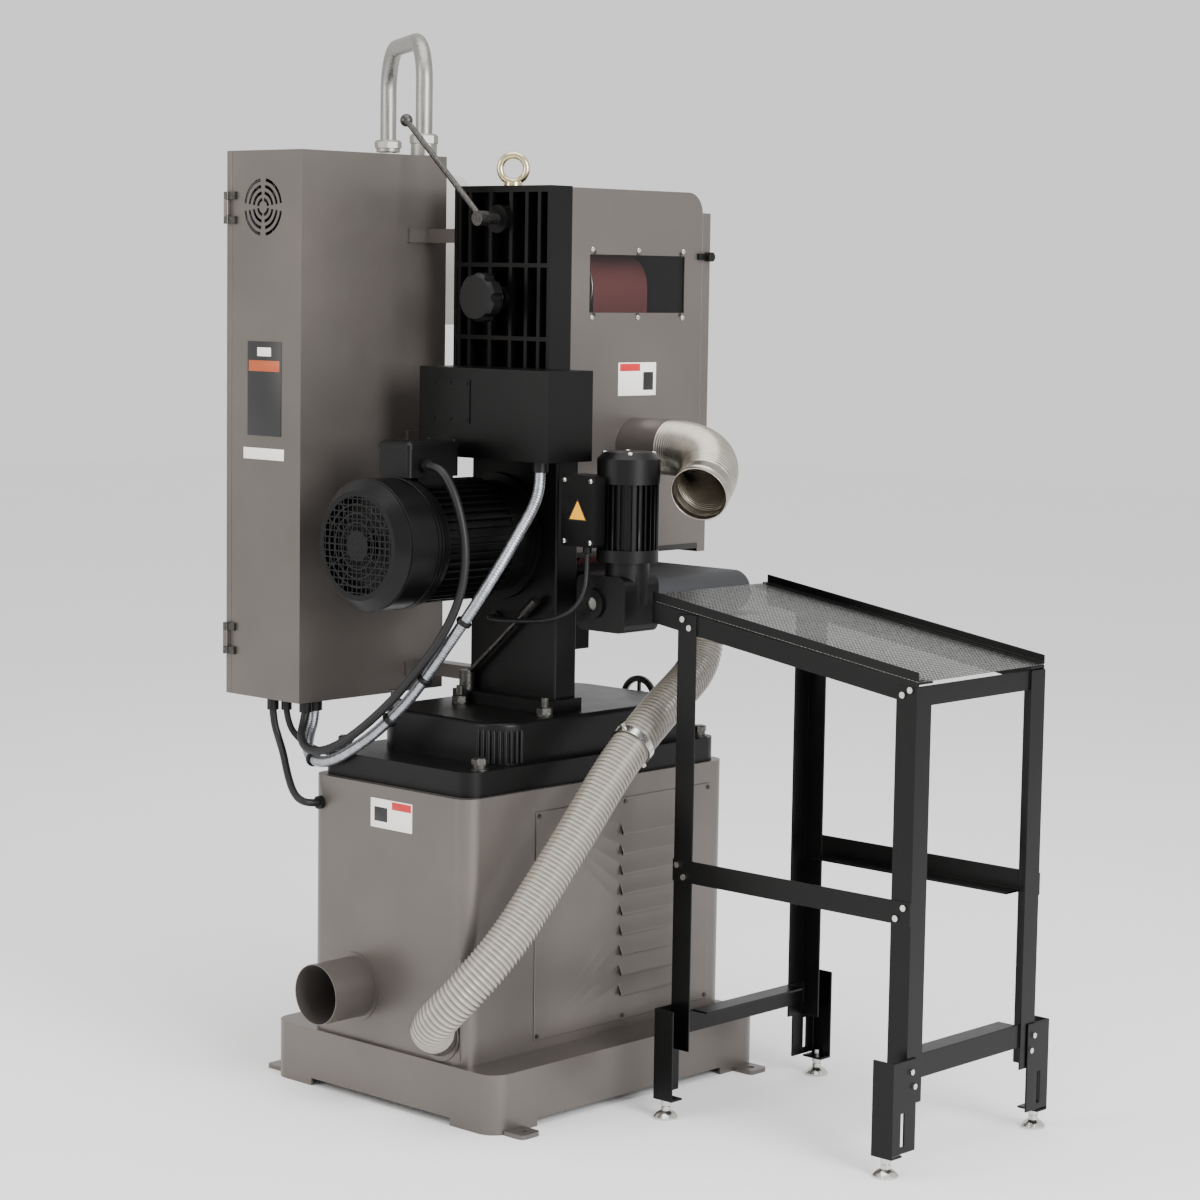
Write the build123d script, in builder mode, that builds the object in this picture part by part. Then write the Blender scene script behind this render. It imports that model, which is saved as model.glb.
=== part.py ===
"""Belt grinder with a conveyor feed: stand, head, drives, dust ducts, controls and outfeed table.

Millimetres, +Z up.  Z = 0 is the floor and the origin is the middle of the plinth.
+Y is the feed direction, +X is the side of the main motor and the electrical cabinet.
"""
from build123d import *
from math import atan2, cos, degrees, pi, radians, sin, tan
import os

os.makedirs("parts", exist_ok=True)

# ---------------------------------------------------------------- driving sizes
sheet = 3.0                      # stand sheet steel
running_gap = 0.05               # radial clearance of a shaft in its bore
air_gap = 0.3                    # clearance between pieces that move past each other

plinth_length = 718.0
plinth_width = 588.0
plinth_height = 108.0
plinth_corner = 38.0
tab_hole = 7.0                   # anchor hole radius

stand_length = 700.0
stand_width = 410.0
stand_mid_y = 5.0
stand_top = 585.0
stand_corner = 34.0

flange_thickness = 45.0
casting_top = 705.0
casting_wall = 14.0

column_left = -12.0              # face that the housing and the saddle sit against
column_right = 45.0              # face that the motor bolts to
column_front = -95.0
column_rear = 127.0
column_top = 1165.0
head_front = -148.0
head_rear = 101.0
head_top = 1665.0

spindle_y = -20.0
spindle_z = 1020.0
shaft_radius = 17.5
wheel_radius = 65.0
belt_width = 150.0
belt_mid_x = -205.0
belt_thickness = 1.0
idler_z = 1480.0
motor_radius = 112.0
cover_radius = 118.0
motor_end = 403.0
motor_back = 290.0

housing_left = -376.0
housing_bottom = 982.0
housing_top = 1663.0
housing_sheet = 2.5
door_depth = 26.0
door_bottom = 975.0
door_top = 1625.0

duct_radius = 52.0
duct_x = -190.0
duct_z = 1187.0
stub_length = 95.0
elbow_radius = 195.0
elbow_angle = 70.0

box_back = 160.0                 # junction box outer face
box_bottom = 1170.0
box_top = 1333.0
box_front = -118.0
box_rear = 212.0

roller_radius = 35.0
roller_y = 235.0
roller_z = 915.0
front_roller_y = -330.0
bed_left = -345.0
bed_right = -62.0
gear_x = 15.0
gear_offset = 40.0               # worm axis behind the drive roller axis
gearmotor_radius = 56.0

cabinet_left = -16.0
cabinet_right = 350.0
cabinet_front = -441.0
cabinet_rear = -233.0
cabinet_bottom = 709.0
cabinet_top = 1723.0
cabinet_door = 15.0

pipe_radius = 16.0
pipe_top = 1943.0
pipe_bend = 80.0
near_leg = (17.0, -262.0)
far_leg = (-150.0, -540.0)
console_left = -330.0
console_right = -35.0
console_front = -590.0
console_rear = -490.0
console_bottom = 1400.0
console_top = 1700.0

table_near = 13.0                # outer faces of the long rails
table_far = -353.0
table_start = 300.0
table_end = 931.0
rail_high = 948.0
rail_low = 856.0
angle_iron = 42.0
angle_wall = 3.5


# ---------------------------------------------------------------- small helpers
def save(builder, label):
    builder.part.label = label
    export_step(builder.part, f"parts/{label}.step")


def block(low, high, mode=Mode.ADD):
    """A box between two opposite corners."""
    middle = [(a + b) / 2 for a, b in zip(low, high)]
    with Locations(tuple(middle)):
        Box(*[b - a for a, b in zip(low, high)], mode=mode)


def bar(start, direction, radius, length, mode=Mode.ADD):
    """A round bar from a start point along a direction."""
    with Locations(Plane(origin=start, z_dir=direction)):
        Cylinder(radius, length, align=(Align.CENTER, Align.CENTER, Align.MIN), mode=mode)


def ring(start, direction, outer, inner, length):
    """A round bar with its own bore."""
    with BuildSketch(Plane(origin=start, z_dir=direction)) as section:
        Circle(outer)
        Circle(inner, mode=Mode.SUBTRACT)
    extrude(section.sketch, amount=length)


def turned(origin, direction, outline, x_dir=None):
    """A revolved body: outline points are (distance along the axis, radius)."""
    across = Vector(*direction).cross(Vector(0.123, 0.456, 0.881)).normalized()
    plane = Plane(origin=origin, x_dir=direction, z_dir=Vector(*direction).cross(across))
    with BuildSketch(plane) as section:
        with BuildLine():
            Polyline(*outline, close=True)
        make_face()
    revolve(section.sketch, axis=Axis(origin, direction))


def fins(origin, direction, count, inner, outer, thickness, length):
    """Flat radial blades around an axis."""
    base = Plane(origin=origin, z_dir=direction)
    for i in range(count):
        angle = 2 * pi * i / count
        outward = base.x_dir * cos(angle) + base.y_dir * sin(angle)
        with BuildSketch(Plane(origin=origin, x_dir=outward, z_dir=direction)) as section:
            with Locations(((inner + outer) / 2, 0)):
                Rectangle(outer - inner, thickness)
        extrude(section.sketch, amount=length)


def route_wire(points):
    """Straight runs joined by arcs as large as their two runs allow; prints the radii."""
    corners = [Vector(*p) for p in points]
    radii = []
    for before, here, after in zip(corners, corners[1:], corners[2:]):
        into = here - before
        out = after - here
        turn = radians(into.get_angle(out))
        radii.append(0.45 * min(into.length, out.length) / tan(turn / 2))
    print("arc radii", [round(r) for r in radii])
    with BuildLine() as line:
        FilletPolyline(*points, radius=radii)
    return line.wires()[0]


def cord(points, radius):
    """A plain solid cord along its route."""
    path = route_wire(points)
    with BuildSketch(Plane(origin=path @ 0, z_dir=path % 0)) as section:
        Circle(radius)
    solid = sweep(section.sketch, path=path)
    print("cord length", round(path.length), "radius", radius)
    return solid


def rounded_box(length, width, low, high, corner, centre=(0, 0), mode=Mode.ADD):
    """A box with rounded upright corners."""
    with BuildSketch(Plane(origin=(centre[0], centre[1], low))) as section:
        RectangleRounded(length, width, corner)
    extrude(section.sketch, amount=high - low, mode=mode)


def group(label, *pieces):
    """Several finished pieces written as one node."""
    with BuildPart() as whole:
        for piece in pieces:
            add(piece.part)
    save(whole, label)


# ---------------------------------------------------------------- plinth and stand
foot_span = 110.0                # corner foot length left beside each recess
recess = 14.0
with BuildPart() as plinth:
    rounded_box(plinth_length, plinth_width, 0, plinth_height, plinth_corner)
    rounded_box(plinth_length - 2 * 5, plinth_width - 2 * 5, -1, plinth_height - 5, plinth_corner - 5,
                mode=Mode.SUBTRACT)
    side = (plinth_length / 2 - foot_span, plinth_width / 2 - foot_span)
    block((-side[0], -plinth_width, -1), (side[0], plinth_width, recess), Mode.SUBTRACT)
    block((-plinth_length, -side[1], -1), (plinth_length, side[1], recess), Mode.SUBTRACT)

tab_x = 310.0
tab_length = 46.0
tab_y = plinth_width / 2 + 24
with BuildPart() as anchor_tabs:
    for sx in (-1, 1):
        for sy in (-1, 1):
            edge = sy * plinth_width / 2
            outer = sy * (plinth_width / 2 + tab_length)
            ends = sorted((edge, outer))
            block((sx * tab_x - 24, ends[0], 0), (sx * tab_x + 24, ends[1], 8))
    fillet(anchor_tabs.edges().filter_by(Axis.Z).group_by(lambda e: round(abs(e.center().Y)))[-1], 10)
    for sx in (-1, 1):
        for sy in (-1, 1):
            bar((sx * tab_x, sy * tab_y, -1), (0, 0, 1), tab_hole, 10, Mode.SUBTRACT)

stand_rear = stand_mid_y + stand_width / 2
stand_front = stand_mid_y - stand_width / 2
stand_right = stand_length / 2
panel_x = (-300.0, 176.0)
panel_z = (125.0, 545.0)
port_y, port_z, port_radius = -77.0, 205.0, 55.5
spigot_y, spigot_z, spigot_radius = 148.0, 157.0, 38.5
hatch_x = (-120.0, 160.0)
hatch_z = (170.0, 520.0)
with BuildPart() as stand_cabinet:
    rounded_box(stand_length, stand_width, plinth_height, stand_top, stand_corner, (0, stand_mid_y))
    rounded_box(stand_length - 2 * sheet, stand_width - 2 * sheet, plinth_height + sheet,
                stand_top - sheet, stand_corner - sheet, (0, stand_mid_y), Mode.SUBTRACT)
    rounded_box(stand_length - 160, stand_width - 120, stand_top - 2 * sheet, stand_top + 1, 30,
                (0, stand_mid_y), Mode.SUBTRACT)
    block((panel_x[0] + 15, stand_rear - 10, panel_z[0] + 15),
          (panel_x[1] - 15, stand_rear + 1, panel_z[1] - 15), Mode.SUBTRACT)
    block((hatch_x[0] + 12, stand_front - 1, hatch_z[0] + 12),
          (hatch_x[1] - 12, stand_front + 10, hatch_z[1] - 12), Mode.SUBTRACT)
    bar((stand_right - 10, port_y, port_z), (1, 0, 0), port_radius - 3, 20, Mode.SUBTRACT)
    bar((stand_right - 10, spigot_y, spigot_z), (1, 0, 0), spigot_radius - 3, 20, Mode.SUBTRACT)

louvre_count = 9
louvre_pitch = 38.0
louvre_x = (-193.0, -48.0)
louvre_low = 172.0
panel_face = stand_rear + 2
with BuildPart() as louvre_panel:
    block((panel_x[0], stand_rear, panel_z[0]), (panel_x[1], panel_face, panel_z[1]))
    for i in range(louvre_count):
        z = louvre_low + i * louvre_pitch
        block((louvre_x[0] + 4, stand_rear - 1, z), (louvre_x[1] - 4, panel_face + 1, z + 14), Mode.SUBTRACT)
        with BuildSketch(Plane.YZ.offset(louvre_x[0])):
            with BuildLine():
                Polyline((panel_face - 0.5, z + 26), (panel_face + 8, z + 6), (panel_face + 8, z),
                         (panel_face + 6, z), (panel_face + 6, z + 5), (panel_face - 0.5,
                                                                        z + 21), close=True)
            make_face()
        extrude(amount=louvre_x[1] - louvre_x[0])
save(louvre_panel, "louvre_panel")

with BuildPart() as panel_screws:
    for x in (panel_x[0] + 7, -60.0, panel_x[1] - 7):
        for z in (panel_z[0] + 8, panel_z[1] - 8):
            bar((x, panel_face, z), (0, 1, 0), 4, 2)

with BuildPart() as dust_port:
    ring((stand_right, port_y, port_z), (1, 0, 0), port_radius + 8, port_radius - 1.5, 2)
    ring((stand_right + 2, port_y, port_z), (1, 0, 0), port_radius, port_radius - 1.5, 93)

spigot_lean = (26.0, 13.0, 10.0)
with BuildPart() as hose_spigot:
    ring((stand_right, spigot_y, spigot_z), (1, 0, 0), spigot_radius + 9, spigot_radius - 3, 3)
    spigot_back = Vector(373, 159, 166) - Vector(*spigot_lean).normalized() * 32
    ring(tuple(spigot_back), spigot_lean, spigot_radius, spigot_radius - 3, 32)
    block((stand_right - 60, spigot_y - 60, spigot_z - 60), (stand_right, spigot_y + 60, spigot_z + 60),
          Mode.SUBTRACT)

with BuildPart() as dust_plenum:
    block((150, -150, 116), (stand_right - sheet, 196, 300))
    block((152, -148, 118), (stand_right - sheet - 2, 194, 298), Mode.SUBTRACT)
    bar((stand_right - 20, port_y, port_z), (1, 0, 0), port_radius - 3, 30, Mode.SUBTRACT)
    bar((stand_right - 20, spigot_y, spigot_z), (1, 0, 0), spigot_radius - 3, 30, Mode.SUBTRACT)

hatch_face = stand_front - 2
hatch_pin = (hatch_x[0] - 8, stand_front - 6)
with BuildPart() as access_hatch:
    block((hatch_x[0], hatch_face - air_gap, hatch_z[0]), (hatch_x[1], stand_front - air_gap, hatch_z[1]))
    for z in (hatch_z[0] + 40, hatch_z[1] - 60):
        block((hatch_pin[0] + 4, hatch_face - 3, z), (hatch_x[0] + 12, hatch_face - air_gap, z + 20))
        ring((hatch_pin[0], hatch_pin[1], z), (0, 0, 1), 5.5, 3 + running_gap, 20)

with BuildPart() as hatch_hinges:
    for z in (hatch_z[0] + 40, hatch_z[1] - 60):
        bar((hatch_pin[0], hatch_pin[1], z - 10), (0, 0, 1), 3, 40)
        for low in (z - 10.5, z + 20.5):
            bar((hatch_pin[0], hatch_pin[1], low), (0, 0, 1), 5.5, 10)
            block((hatch_pin[0] - 20, stand_front - 4, low), (hatch_pin[0], stand_front, low + 10))

hatch_knob_x = hatch_x[1] - 24
hatch_mid_z = (hatch_z[0] + hatch_z[1]) / 2
with BuildPart() as hatch_knob:
    bar((hatch_knob_x, hatch_face - 1.3, hatch_mid_z), (0, -1, 0), 14, 16)
    chamfer(hatch_knob.edges().filter_by(GeomType.CIRCLE).sort_by(Axis.Y)[0], 3)

# ---------------------------------------------------------------- base casting and column
flange_top = stand_top + flange_thickness
body_x = (-290.0, 240.0)
body_y = (-150.0, 180.0)
body_mid = ((body_x[0] + body_x[1]) / 2, (body_y[0] + body_y[1]) / 2)
body_length = body_x[1] - body_x[0]
body_width = body_y[1] - body_y[0]
wheel_axis_z = 681.0
hand_y = 0.0
screw_x, screw_y, screw_radius = -70.0, 0.0, 10.0
screw_end = 687.0                # lower end of the lift screw, inside the casting
with BuildPart() as base_casting:
    rounded_box(stand_length - 30, stand_width - 18, stand_top, flange_top, stand_corner, (0, stand_mid_y))
    rounded_box(body_length, body_width, flange_top - 5, casting_top, 60, body_mid)
    top_edges = base_casting.faces().sort_by(Axis.Z)[-1].edges()
    fillet(top_edges, 8)
    rounded_box(body_length - 2 * casting_wall, body_width - 2 * casting_wall, stand_top - 1,
                casting_top - casting_wall, 46, body_mid, Mode.SUBTRACT)
    bar((body_x[0] - 5, hand_y, wheel_axis_z), (1, 0, 0), 8 + running_gap, 30, Mode.SUBTRACT)
    bar((screw_x, screw_y, casting_top - casting_wall - 1), (0, 0, 1), screw_radius + running_gap,
        casting_wall + 2, Mode.SUBTRACT)
save(base_casting, "base_casting")

flange_bolts_at = [(290, 180), (-300, 180), (290, -170), (-300, -170)]
clamp_bolts_at = [(95, -70), (225, -110), (95, 150)]
with BuildPart() as casting_bolts:
    for x, y in flange_bolts_at:
        bar((x, y, flange_top), (0, 0, 1), 16, 3)
        bar((x, y, flange_top + 3), (0, 0, 1), 12, 8)
        bar((x, y, flange_top + 11), (0, 0, 1), 6, 6)
    for x, y in clamp_bolts_at:
        bar((x, y, casting_top), (0, 0, 1), 15, 3)
        bar((x, y, casting_top + 3), (0, 0, 1), 11, 12)
        bar((x, y, casting_top + 15), (0, 0, 1), 7, 18)

column_wall = 12.0
cartridge_radius = 50.0
with BuildPart() as column:
    block((column_left, column_front, casting_top), (column_right, column_rear, column_top))
    block((column_left - 8, column_front - 16, casting_top), (column_right + 32, column_rear + 10,
                                                              casting_top + 22))
    fillet(column.edges().filter_by(Axis.Z), 5)
    bar((column_right - 25, spindle_y, spindle_z), (1, 0, 0), motor_radius + 10, 25)
    block((column_left + column_wall, column_front + column_wall, casting_top - 1),
          (column_right - column_wall, column_rear - column_wall, spindle_z - 70), Mode.SUBTRACT)
    block((column_left + column_wall, column_front + column_wall, spindle_z + 70),
          (column_right - column_wall, column_rear - column_wall, column_top - column_wall), Mode.SUBTRACT)
    bar((column_left - 1, spindle_y, spindle_z), (1, 0, 0), cartridge_radius, column_right - column_left + 2,
        Mode.SUBTRACT)
    bar((column_right - 15, -32, 870), (1, 0, 0), 6, 20, Mode.SUBTRACT)

rib_y = (-134.0, -107.0, -53.0, 0.0, 40.0, 72.0)
rib_z = (1240.0, 1386.0, 1520.0)
lever_y, lever_z, lever_shaft = -25.0, 1604.0, 10.0
track_y, track_z, track_shaft = -23.0, 1460.0, 8.0
eye_x, eye_y = 18.0, -22.0
with BuildPart() as head_plate:
    block((column_left, head_front, column_top), (12, head_rear, head_top))
    for y in (head_front, head_rear - 8):
        block((12, y, column_top), (column_right, y + 8, head_top))
    block((12, head_front, head_top - 12), (column_right, head_rear, head_top))
    block((12, head_front, column_top), (column_right, head_rear, column_top + 14))
    for y in rib_y:
        block((12, y - 4, column_top), (column_right, y + 4, head_top))
    for z in rib_z:
        block((12, head_front, z - 4), (column_right, head_rear, z + 4))
    bar((12, lever_y, lever_z), (1, 0, 0), 26, column_right - 12 + 12)
    bar((12, track_y, track_z), (1, 0, 0), 20, column_right - 12 + 6)
    bar((column_left - 1, lever_y, lever_z), (1, 0, 0), lever_shaft + running_gap, 90, Mode.SUBTRACT)
    bar((column_left - 1, track_y, track_z), (1, 0, 0), track_shaft + running_gap, 90, Mode.SUBTRACT)
    bar((eye_x, eye_y, head_top - 30), (0, 0, 1), 8, 40, Mode.SUBTRACT)
save(head_plate, "head_plate")

with BuildPart() as head_bolts:
    for y in (85.0, -120.5):
        for z in (1195.0, 1330.0, 1446.0, 1636.0):
            bar((12, y, z), (1, 0, 0), 7, 8)

eye_outer, eye_bar = 27.0, 6.5
with BuildPart() as eye_bolt:
    bar((eye_x, eye_y, head_top - 28), (0, 0, 1), 8, 28)
    bar((eye_x, eye_y, head_top), (0, 0, 1), 17, 7)
    with Locations(Plane(origin=(eye_x, eye_y, head_top + 5 + eye_outer), z_dir=(0.8, 0.6, 0))):
        Torus(eye_outer - eye_bar + 4, eye_bar)
save(eye_bolt, "eye_bolt")

# ---------------------------------------------------------------- main motor
fin_count = 44
fin_height = 12.0
motor_root = motor_radius - fin_height
frame_start = column_right + 50
with BuildPart() as motor_frame:
    bar((column_right, spindle_y, spindle_z), (1, 0, 0), motor_radius + 6, 16)
    turned((column_right, spindle_y, spindle_z), (1, 0, 0),
           [(10, 0), (10, 104), (34, 104), (50, motor_root + 3), (64, motor_root + 3), (64, 0)])
    bar((frame_start, spindle_y, spindle_z), (1, 0, 0), motor_root, motor_back - frame_start)
    fins((frame_start + 14, spindle_y, spindle_z), (1, 0, 0), fin_count, motor_root - 1, motor_radius, 3,
         motor_back - frame_start - 26)
    block((200, spindle_y - 34, spindle_z + 80), (motor_back - 2, spindle_y + 34, 1139))
    bar((motor_back, spindle_y, spindle_z), (-1, 0, 0), motor_radius - 2, 12)
    bar((column_right + 12, spindle_y, spindle_z), (1, 0, 0), motor_root - 12, motor_back - column_right,
        Mode.SUBTRACT)
    bar((column_right - 1, spindle_y, spindle_z), (1, 0, 0), 40, 20, Mode.SUBTRACT)

with BuildPart() as motor_stator:
    ring((column_right + 70, spindle_y, spindle_z), (1, 0, 0), motor_root - 12, 62, 140)

bearing_outer = 36.0
with BuildPart() as spindle_bearings:
    for x in (-112.0, -20.0, 62.0, motor_back - 22.0):
        outer = motor_root - 12 if x > column_right else bearing_outer
        ring((x, spindle_y, spindle_z), (1, 0, 0), outer, shaft_radius + running_gap, 17)
save(spindle_bearings, "spindle_bearings")

with BuildPart() as bearing_cartridge:
    ring((-114, spindle_y, spindle_z), (1, 0, 0), cartridge_radius, bearing_outer, 114 + column_right)

wheel_x = (belt_mid_x - belt_width / 2 - 2, belt_mid_x + belt_width / 2 + 2)
with BuildPart() as motor_shaft:
    bar((wheel_x[0] + 4, spindle_y, spindle_z), (1, 0, 0), shaft_radius, motor_end - 30 - wheel_x[0])
    ring((column_right + 72, spindle_y, spindle_z), (1, 0, 0), 61, shaft_radius - 1, 136)
save(motor_shaft, "motor_shaft")

tyre_thickness = 11.0
with BuildPart() as contact_wheel:
    ring((wheel_x[0], spindle_y, spindle_z), (1, 0, 0), wheel_radius - tyre_thickness, 44,
         wheel_x[1] - wheel_x[0])
    ring((wheel_x[0] + 4, spindle_y, spindle_z), (1, 0, 0), 30, shaft_radius, 100)
    ring((wheel_x[0] + 40, spindle_y, spindle_z), (1, 0, 0), 45, shaft_radius, 16)
save(contact_wheel, "contact_wheel")

with BuildPart() as wheel_tyre:
    ring((wheel_x[0], spindle_y, spindle_z), (1, 0, 0), wheel_radius, wheel_radius - tyre_thickness,
         wheel_x[1] - wheel_x[0])
save(wheel_tyre, "wheel_tyre")

blade_count = 7
fan_x = motor_back + 6
with BuildPart() as motor_fan:
    ring((fan_x, spindle_y, spindle_z), (1, 0, 0), 34, shaft_radius, 44)
    fins((fan_x + 2, spindle_y, spindle_z), (1, 0, 0), blade_count, 31, 97, 3, 40)
    ring((fan_x, spindle_y, spindle_z), (1, 0, 0), 97, 30, 3)
save(motor_fan, "motor_fan")

grille_rings = (26.0, 42.0, 58.0, 74.0, 90.0)
with BuildPart() as fan_cover:
    turned((0, spindle_y, spindle_z), (1, 0, 0),
           [(motor_back, cover_radius - 2), (motor_back, cover_radius), (motor_end - 20, cover_radius),
            (motor_end, cover_radius - 20), (motor_end, 88), (motor_end - 2, 88),
            (motor_end - 2, cover_radius - 21), (motor_end - 21, cover_radius - 2)])
    for r in grille_rings:
        ring((motor_end - 2, spindle_y, spindle_z), (1, 0, 0), r + 1.6, r - 1.6, 2)
    fins((motor_end - 2, spindle_y, spindle_z), (1, 0, 0), 12, 23, 91, 2.4, 2)
    bar((motor_end - 2, spindle_y, spindle_z), (1, 0, 0), 25, 2)
save(fan_cover, "fan_cover")

tbox_x = (190.0, 316.0)
tbox_y = (-60.0, 20.0)
tbox_z = (1139.0, 1190.0)
with BuildPart() as terminal_box:
    block((tbox_x[0], tbox_y[0], tbox_z[0]), (tbox_x[1], tbox_y[1], tbox_z[1]))
    fillet(terminal_box.edges().filter_by(Axis.Z), 8)
    block((tbox_x[0] + 4, tbox_y[0] + 4, tbox_z[0] + 4), (tbox_x[1] - 4, tbox_y[1] - 4, tbox_z[1] + 1),
          Mode.SUBTRACT)

with BuildPart() as terminal_lid:
    block((tbox_x[0] - 3, tbox_y[0] - 3, tbox_z[1]), (tbox_x[1] + 3, tbox_y[1] + 3, tbox_z[1] + 12))
    fillet(terminal_lid.edges().filter_by(Axis.Z), 10)
    chamfer(terminal_lid.faces().sort_by(Axis.Z)[-1].edges(), 4)
    for x in (tbox_x[0] + 8, tbox_x[1] - 8):
        for y in (tbox_y[0] + 8, tbox_y[1] - 8):
            bar((x, y, tbox_z[1] + 11), (0, 0, 1), 4, 4)

# ---------------------------------------------------------------- junction box on the head
with BuildPart() as junction_box:
    block((column_right, box_front, box_bottom), (box_back, box_rear, box_top))
    block((column_right + 2, box_front + 2, box_bottom + 2), (box_back - 2, box_rear - 2, box_top - 2),
          Mode.SUBTRACT)
    block((box_back - 3, -75, 1242), (box_back + 1, 5, 1302), Mode.SUBTRACT)
    bar((115, 150, box_bottom - 1), (0, 0, 1), 10, 5, Mode.SUBTRACT)

with BuildPart() as junction_lid:
    block((box_back, -85, 1232), (box_back + 2, 15, 1312))
    for y in (-78, -35, 8):
        for z in (1239, 1305):
            bar((box_back + 2, y, z), (1, 0, 0), 3, 1.5)

with BuildPart() as terminal_rail:
    block((column_right + 2, -70, 1262), (column_right + 9, 170, 1297))
    for i in range(10):
        block((column_right + 9, -60 + i * 22, 1256), (column_right + 49, -40 + i * 22, 1303))

# ---------------------------------------------------------------- belt housing
window_x = (-326.0, -62.0)
window_z = (1435.0, 1542.0)
slot_x = (column_left - 3 - housing_sheet, column_left)
with BuildPart() as belt_housing:
    block((housing_left, head_front, housing_bottom), (column_left, head_rear - 1, housing_top))
    corner = belt_housing.edges().filter_by(Axis.Y).sort_by(lambda e: e.center().Z - e.center().X)[-1]
    fillet(corner, 40)
    inner = [(housing_left - 1, head_front + housing_sheet, housing_bottom - 1),
             (column_left - housing_sheet, head_rear - 1 - housing_sheet, door_top - 4)]
    block(inner[0], inner[1], Mode.SUBTRACT)
    block((housing_left + 42, head_front + housing_sheet, door_top - 5),
          (column_left - housing_sheet, head_rear - 1 - housing_sheet,
           housing_top - housing_sheet), Mode.SUBTRACT)
    block((window_x[0], head_rear - 10, window_z[0]), (window_x[1], head_rear + 1, window_z[1]),
          Mode.SUBTRACT)
    bar((duct_x, head_rear - 10, duct_z), (0, 1, 0), duct_radius - 2, 20, Mode.SUBTRACT)
    bar((column_left - 10, spindle_y, spindle_z), (1, 0, 0), cartridge_radius, 20, Mode.SUBTRACT)
    block((column_left - 10, track_y - 12, idler_z - 60), (column_left + 1, track_y + 12, lever_z + 16),
          Mode.SUBTRACT)

face_y = head_rear - 1
with BuildPart() as window_pane:
    block((window_x[0] + 1, face_y - housing_sheet - 4, window_z[0] - 8),
          (window_x[1] - 1, face_y - housing_sheet, window_z[1] + 8))
save(window_pane, "window_pane")

with BuildPart() as window_screws:
    for x in (window_x[0] + 12, (window_x[0] + window_x[1]) / 2, window_x[1] - 12):
        for z in (window_z[0] - 4, window_z[1] + 4):
            bar((x, face_y, z), (0, 1, 0), 3.5, 2)

with BuildPart() as duct_stub:
    ring((duct_x, face_y, duct_z), (0, 1, 0), duct_radius, duct_radius - 2, stub_length)

elbow_out = Vector(0.9, 0, -0.435).normalized()
elbow_start = Vector(duct_x, face_y + stub_length, duct_z)
elbow_centre = elbow_start + elbow_out * elbow_radius
elbow_turn = radians(elbow_angle)
mouth = (elbow_centre - elbow_out * (elbow_radius * cos(elbow_turn))
         + Vector(0, 1, 0) * (elbow_radius * sin(elbow_turn)))
heading = Vector(0, 1, 0) * cos(elbow_turn) + elbow_out * sin(elbow_turn)
collar_length = 34.0
with BuildPart() as duct_elbow:
    with BuildSketch(Plane(origin=elbow_start, z_dir=(0, 1, 0))) as elbow_section:
        Circle(duct_radius)
        Circle(duct_radius - 1.5, mode=Mode.SUBTRACT)
    elbow_axis = Axis(tuple(elbow_centre), tuple((-elbow_out).cross(Vector(0, 1, 0))))
    revolve(elbow_section.sketch, axis=elbow_axis, revolution_arc=elbow_angle)
    ring(tuple(mouth), tuple(heading), duct_radius, duct_radius - 1.5, collar_length)
save(duct_elbow, "duct_elbow")
print("elbow mouth", [round(v) for v in mouth + heading * collar_length])

# door on the far side of the housing
door_pin = (housing_left, head_front - 6)
door_left = housing_left - door_depth
with BuildPart() as housing_door:
    block((door_left, head_front, door_bottom), (housing_left - air_gap, face_y, door_top))
    fillet(housing_door.faces().sort_by(Axis.X)[0].edges(), 5)
    block((door_left + 2, head_front + 2, door_bottom + 2), (housing_left + 1, face_y - 2, door_top - 2),
          Mode.SUBTRACT)
    for z in (1060.0, 1520.0):
        ring((door_pin[0], door_pin[1], z), (0, 0, 1), 5.5, 3 + running_gap, 30)
        block((door_left + 6, head_front - 4, z), (door_pin[0] - 4, head_front + 1, z + 30))
save(housing_door, "housing_door")

with BuildPart() as door_hinges:
    for z in (1060.0, 1520.0):
        bar((door_pin[0], door_pin[1], z - 12), (0, 0, 1), 3, 54)
        for low in (z - 14.5, z + 30.5):
            bar((door_pin[0], door_pin[1], low), (0, 0, 1), 5.5, 14)
            block((door_pin[0], head_front - 4, low), (door_pin[0] + 24, head_front, low + 14))

latch_x, latch_z = -389.0, 1542.0
with BuildPart() as door_latch:
    bar((latch_x, face_y + air_gap, latch_z), (0, 1, 0), 9, 14)
    block((latch_x - 9, face_y + 1.2, latch_z - 6), (housing_left + 15, face_y + 5, latch_z + 6))
save(door_latch, "door_latch")

# ---------------------------------------------------------------- idler, abrasive belt, tension and tracking
slide_x = (-42.0, column_left - housing_sheet - air_gap)
with BuildPart() as idler_slide:
    block((slide_x[0], track_y - 45, idler_z - 60), (slide_x[1], track_y + 45, idler_z + 60))
    block((slide_x[0], track_y - 12, idler_z + 50), (slide_x[1], track_y + 12, lever_z - 22))
    bar((wheel_x[0] - 12, spindle_y, idler_z), (1, 0, 0), 12, slide_x[0] - wheel_x[0] + 13)
save(idler_slide, "idler_slide")

idler_crown = 1.0
with BuildPart() as idler_wheel:
    ring((wheel_x[0], spindle_y, idler_z), (1, 0, 0), wheel_radius, 52, wheel_x[1] - wheel_x[0])
    ring((wheel_x[0], spindle_y, idler_z), (1, 0, 0), 26, 12 + running_gap, wheel_x[1] - wheel_x[0])
    ring((wheel_x[0] + 30, spindle_y, idler_z), (1, 0, 0), 53, 25, 12)
    ring((wheel_x[1] - 42, spindle_y, idler_z), (1, 0, 0), 53, 25, 12)
save(idler_wheel, "idler_wheel")

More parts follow.
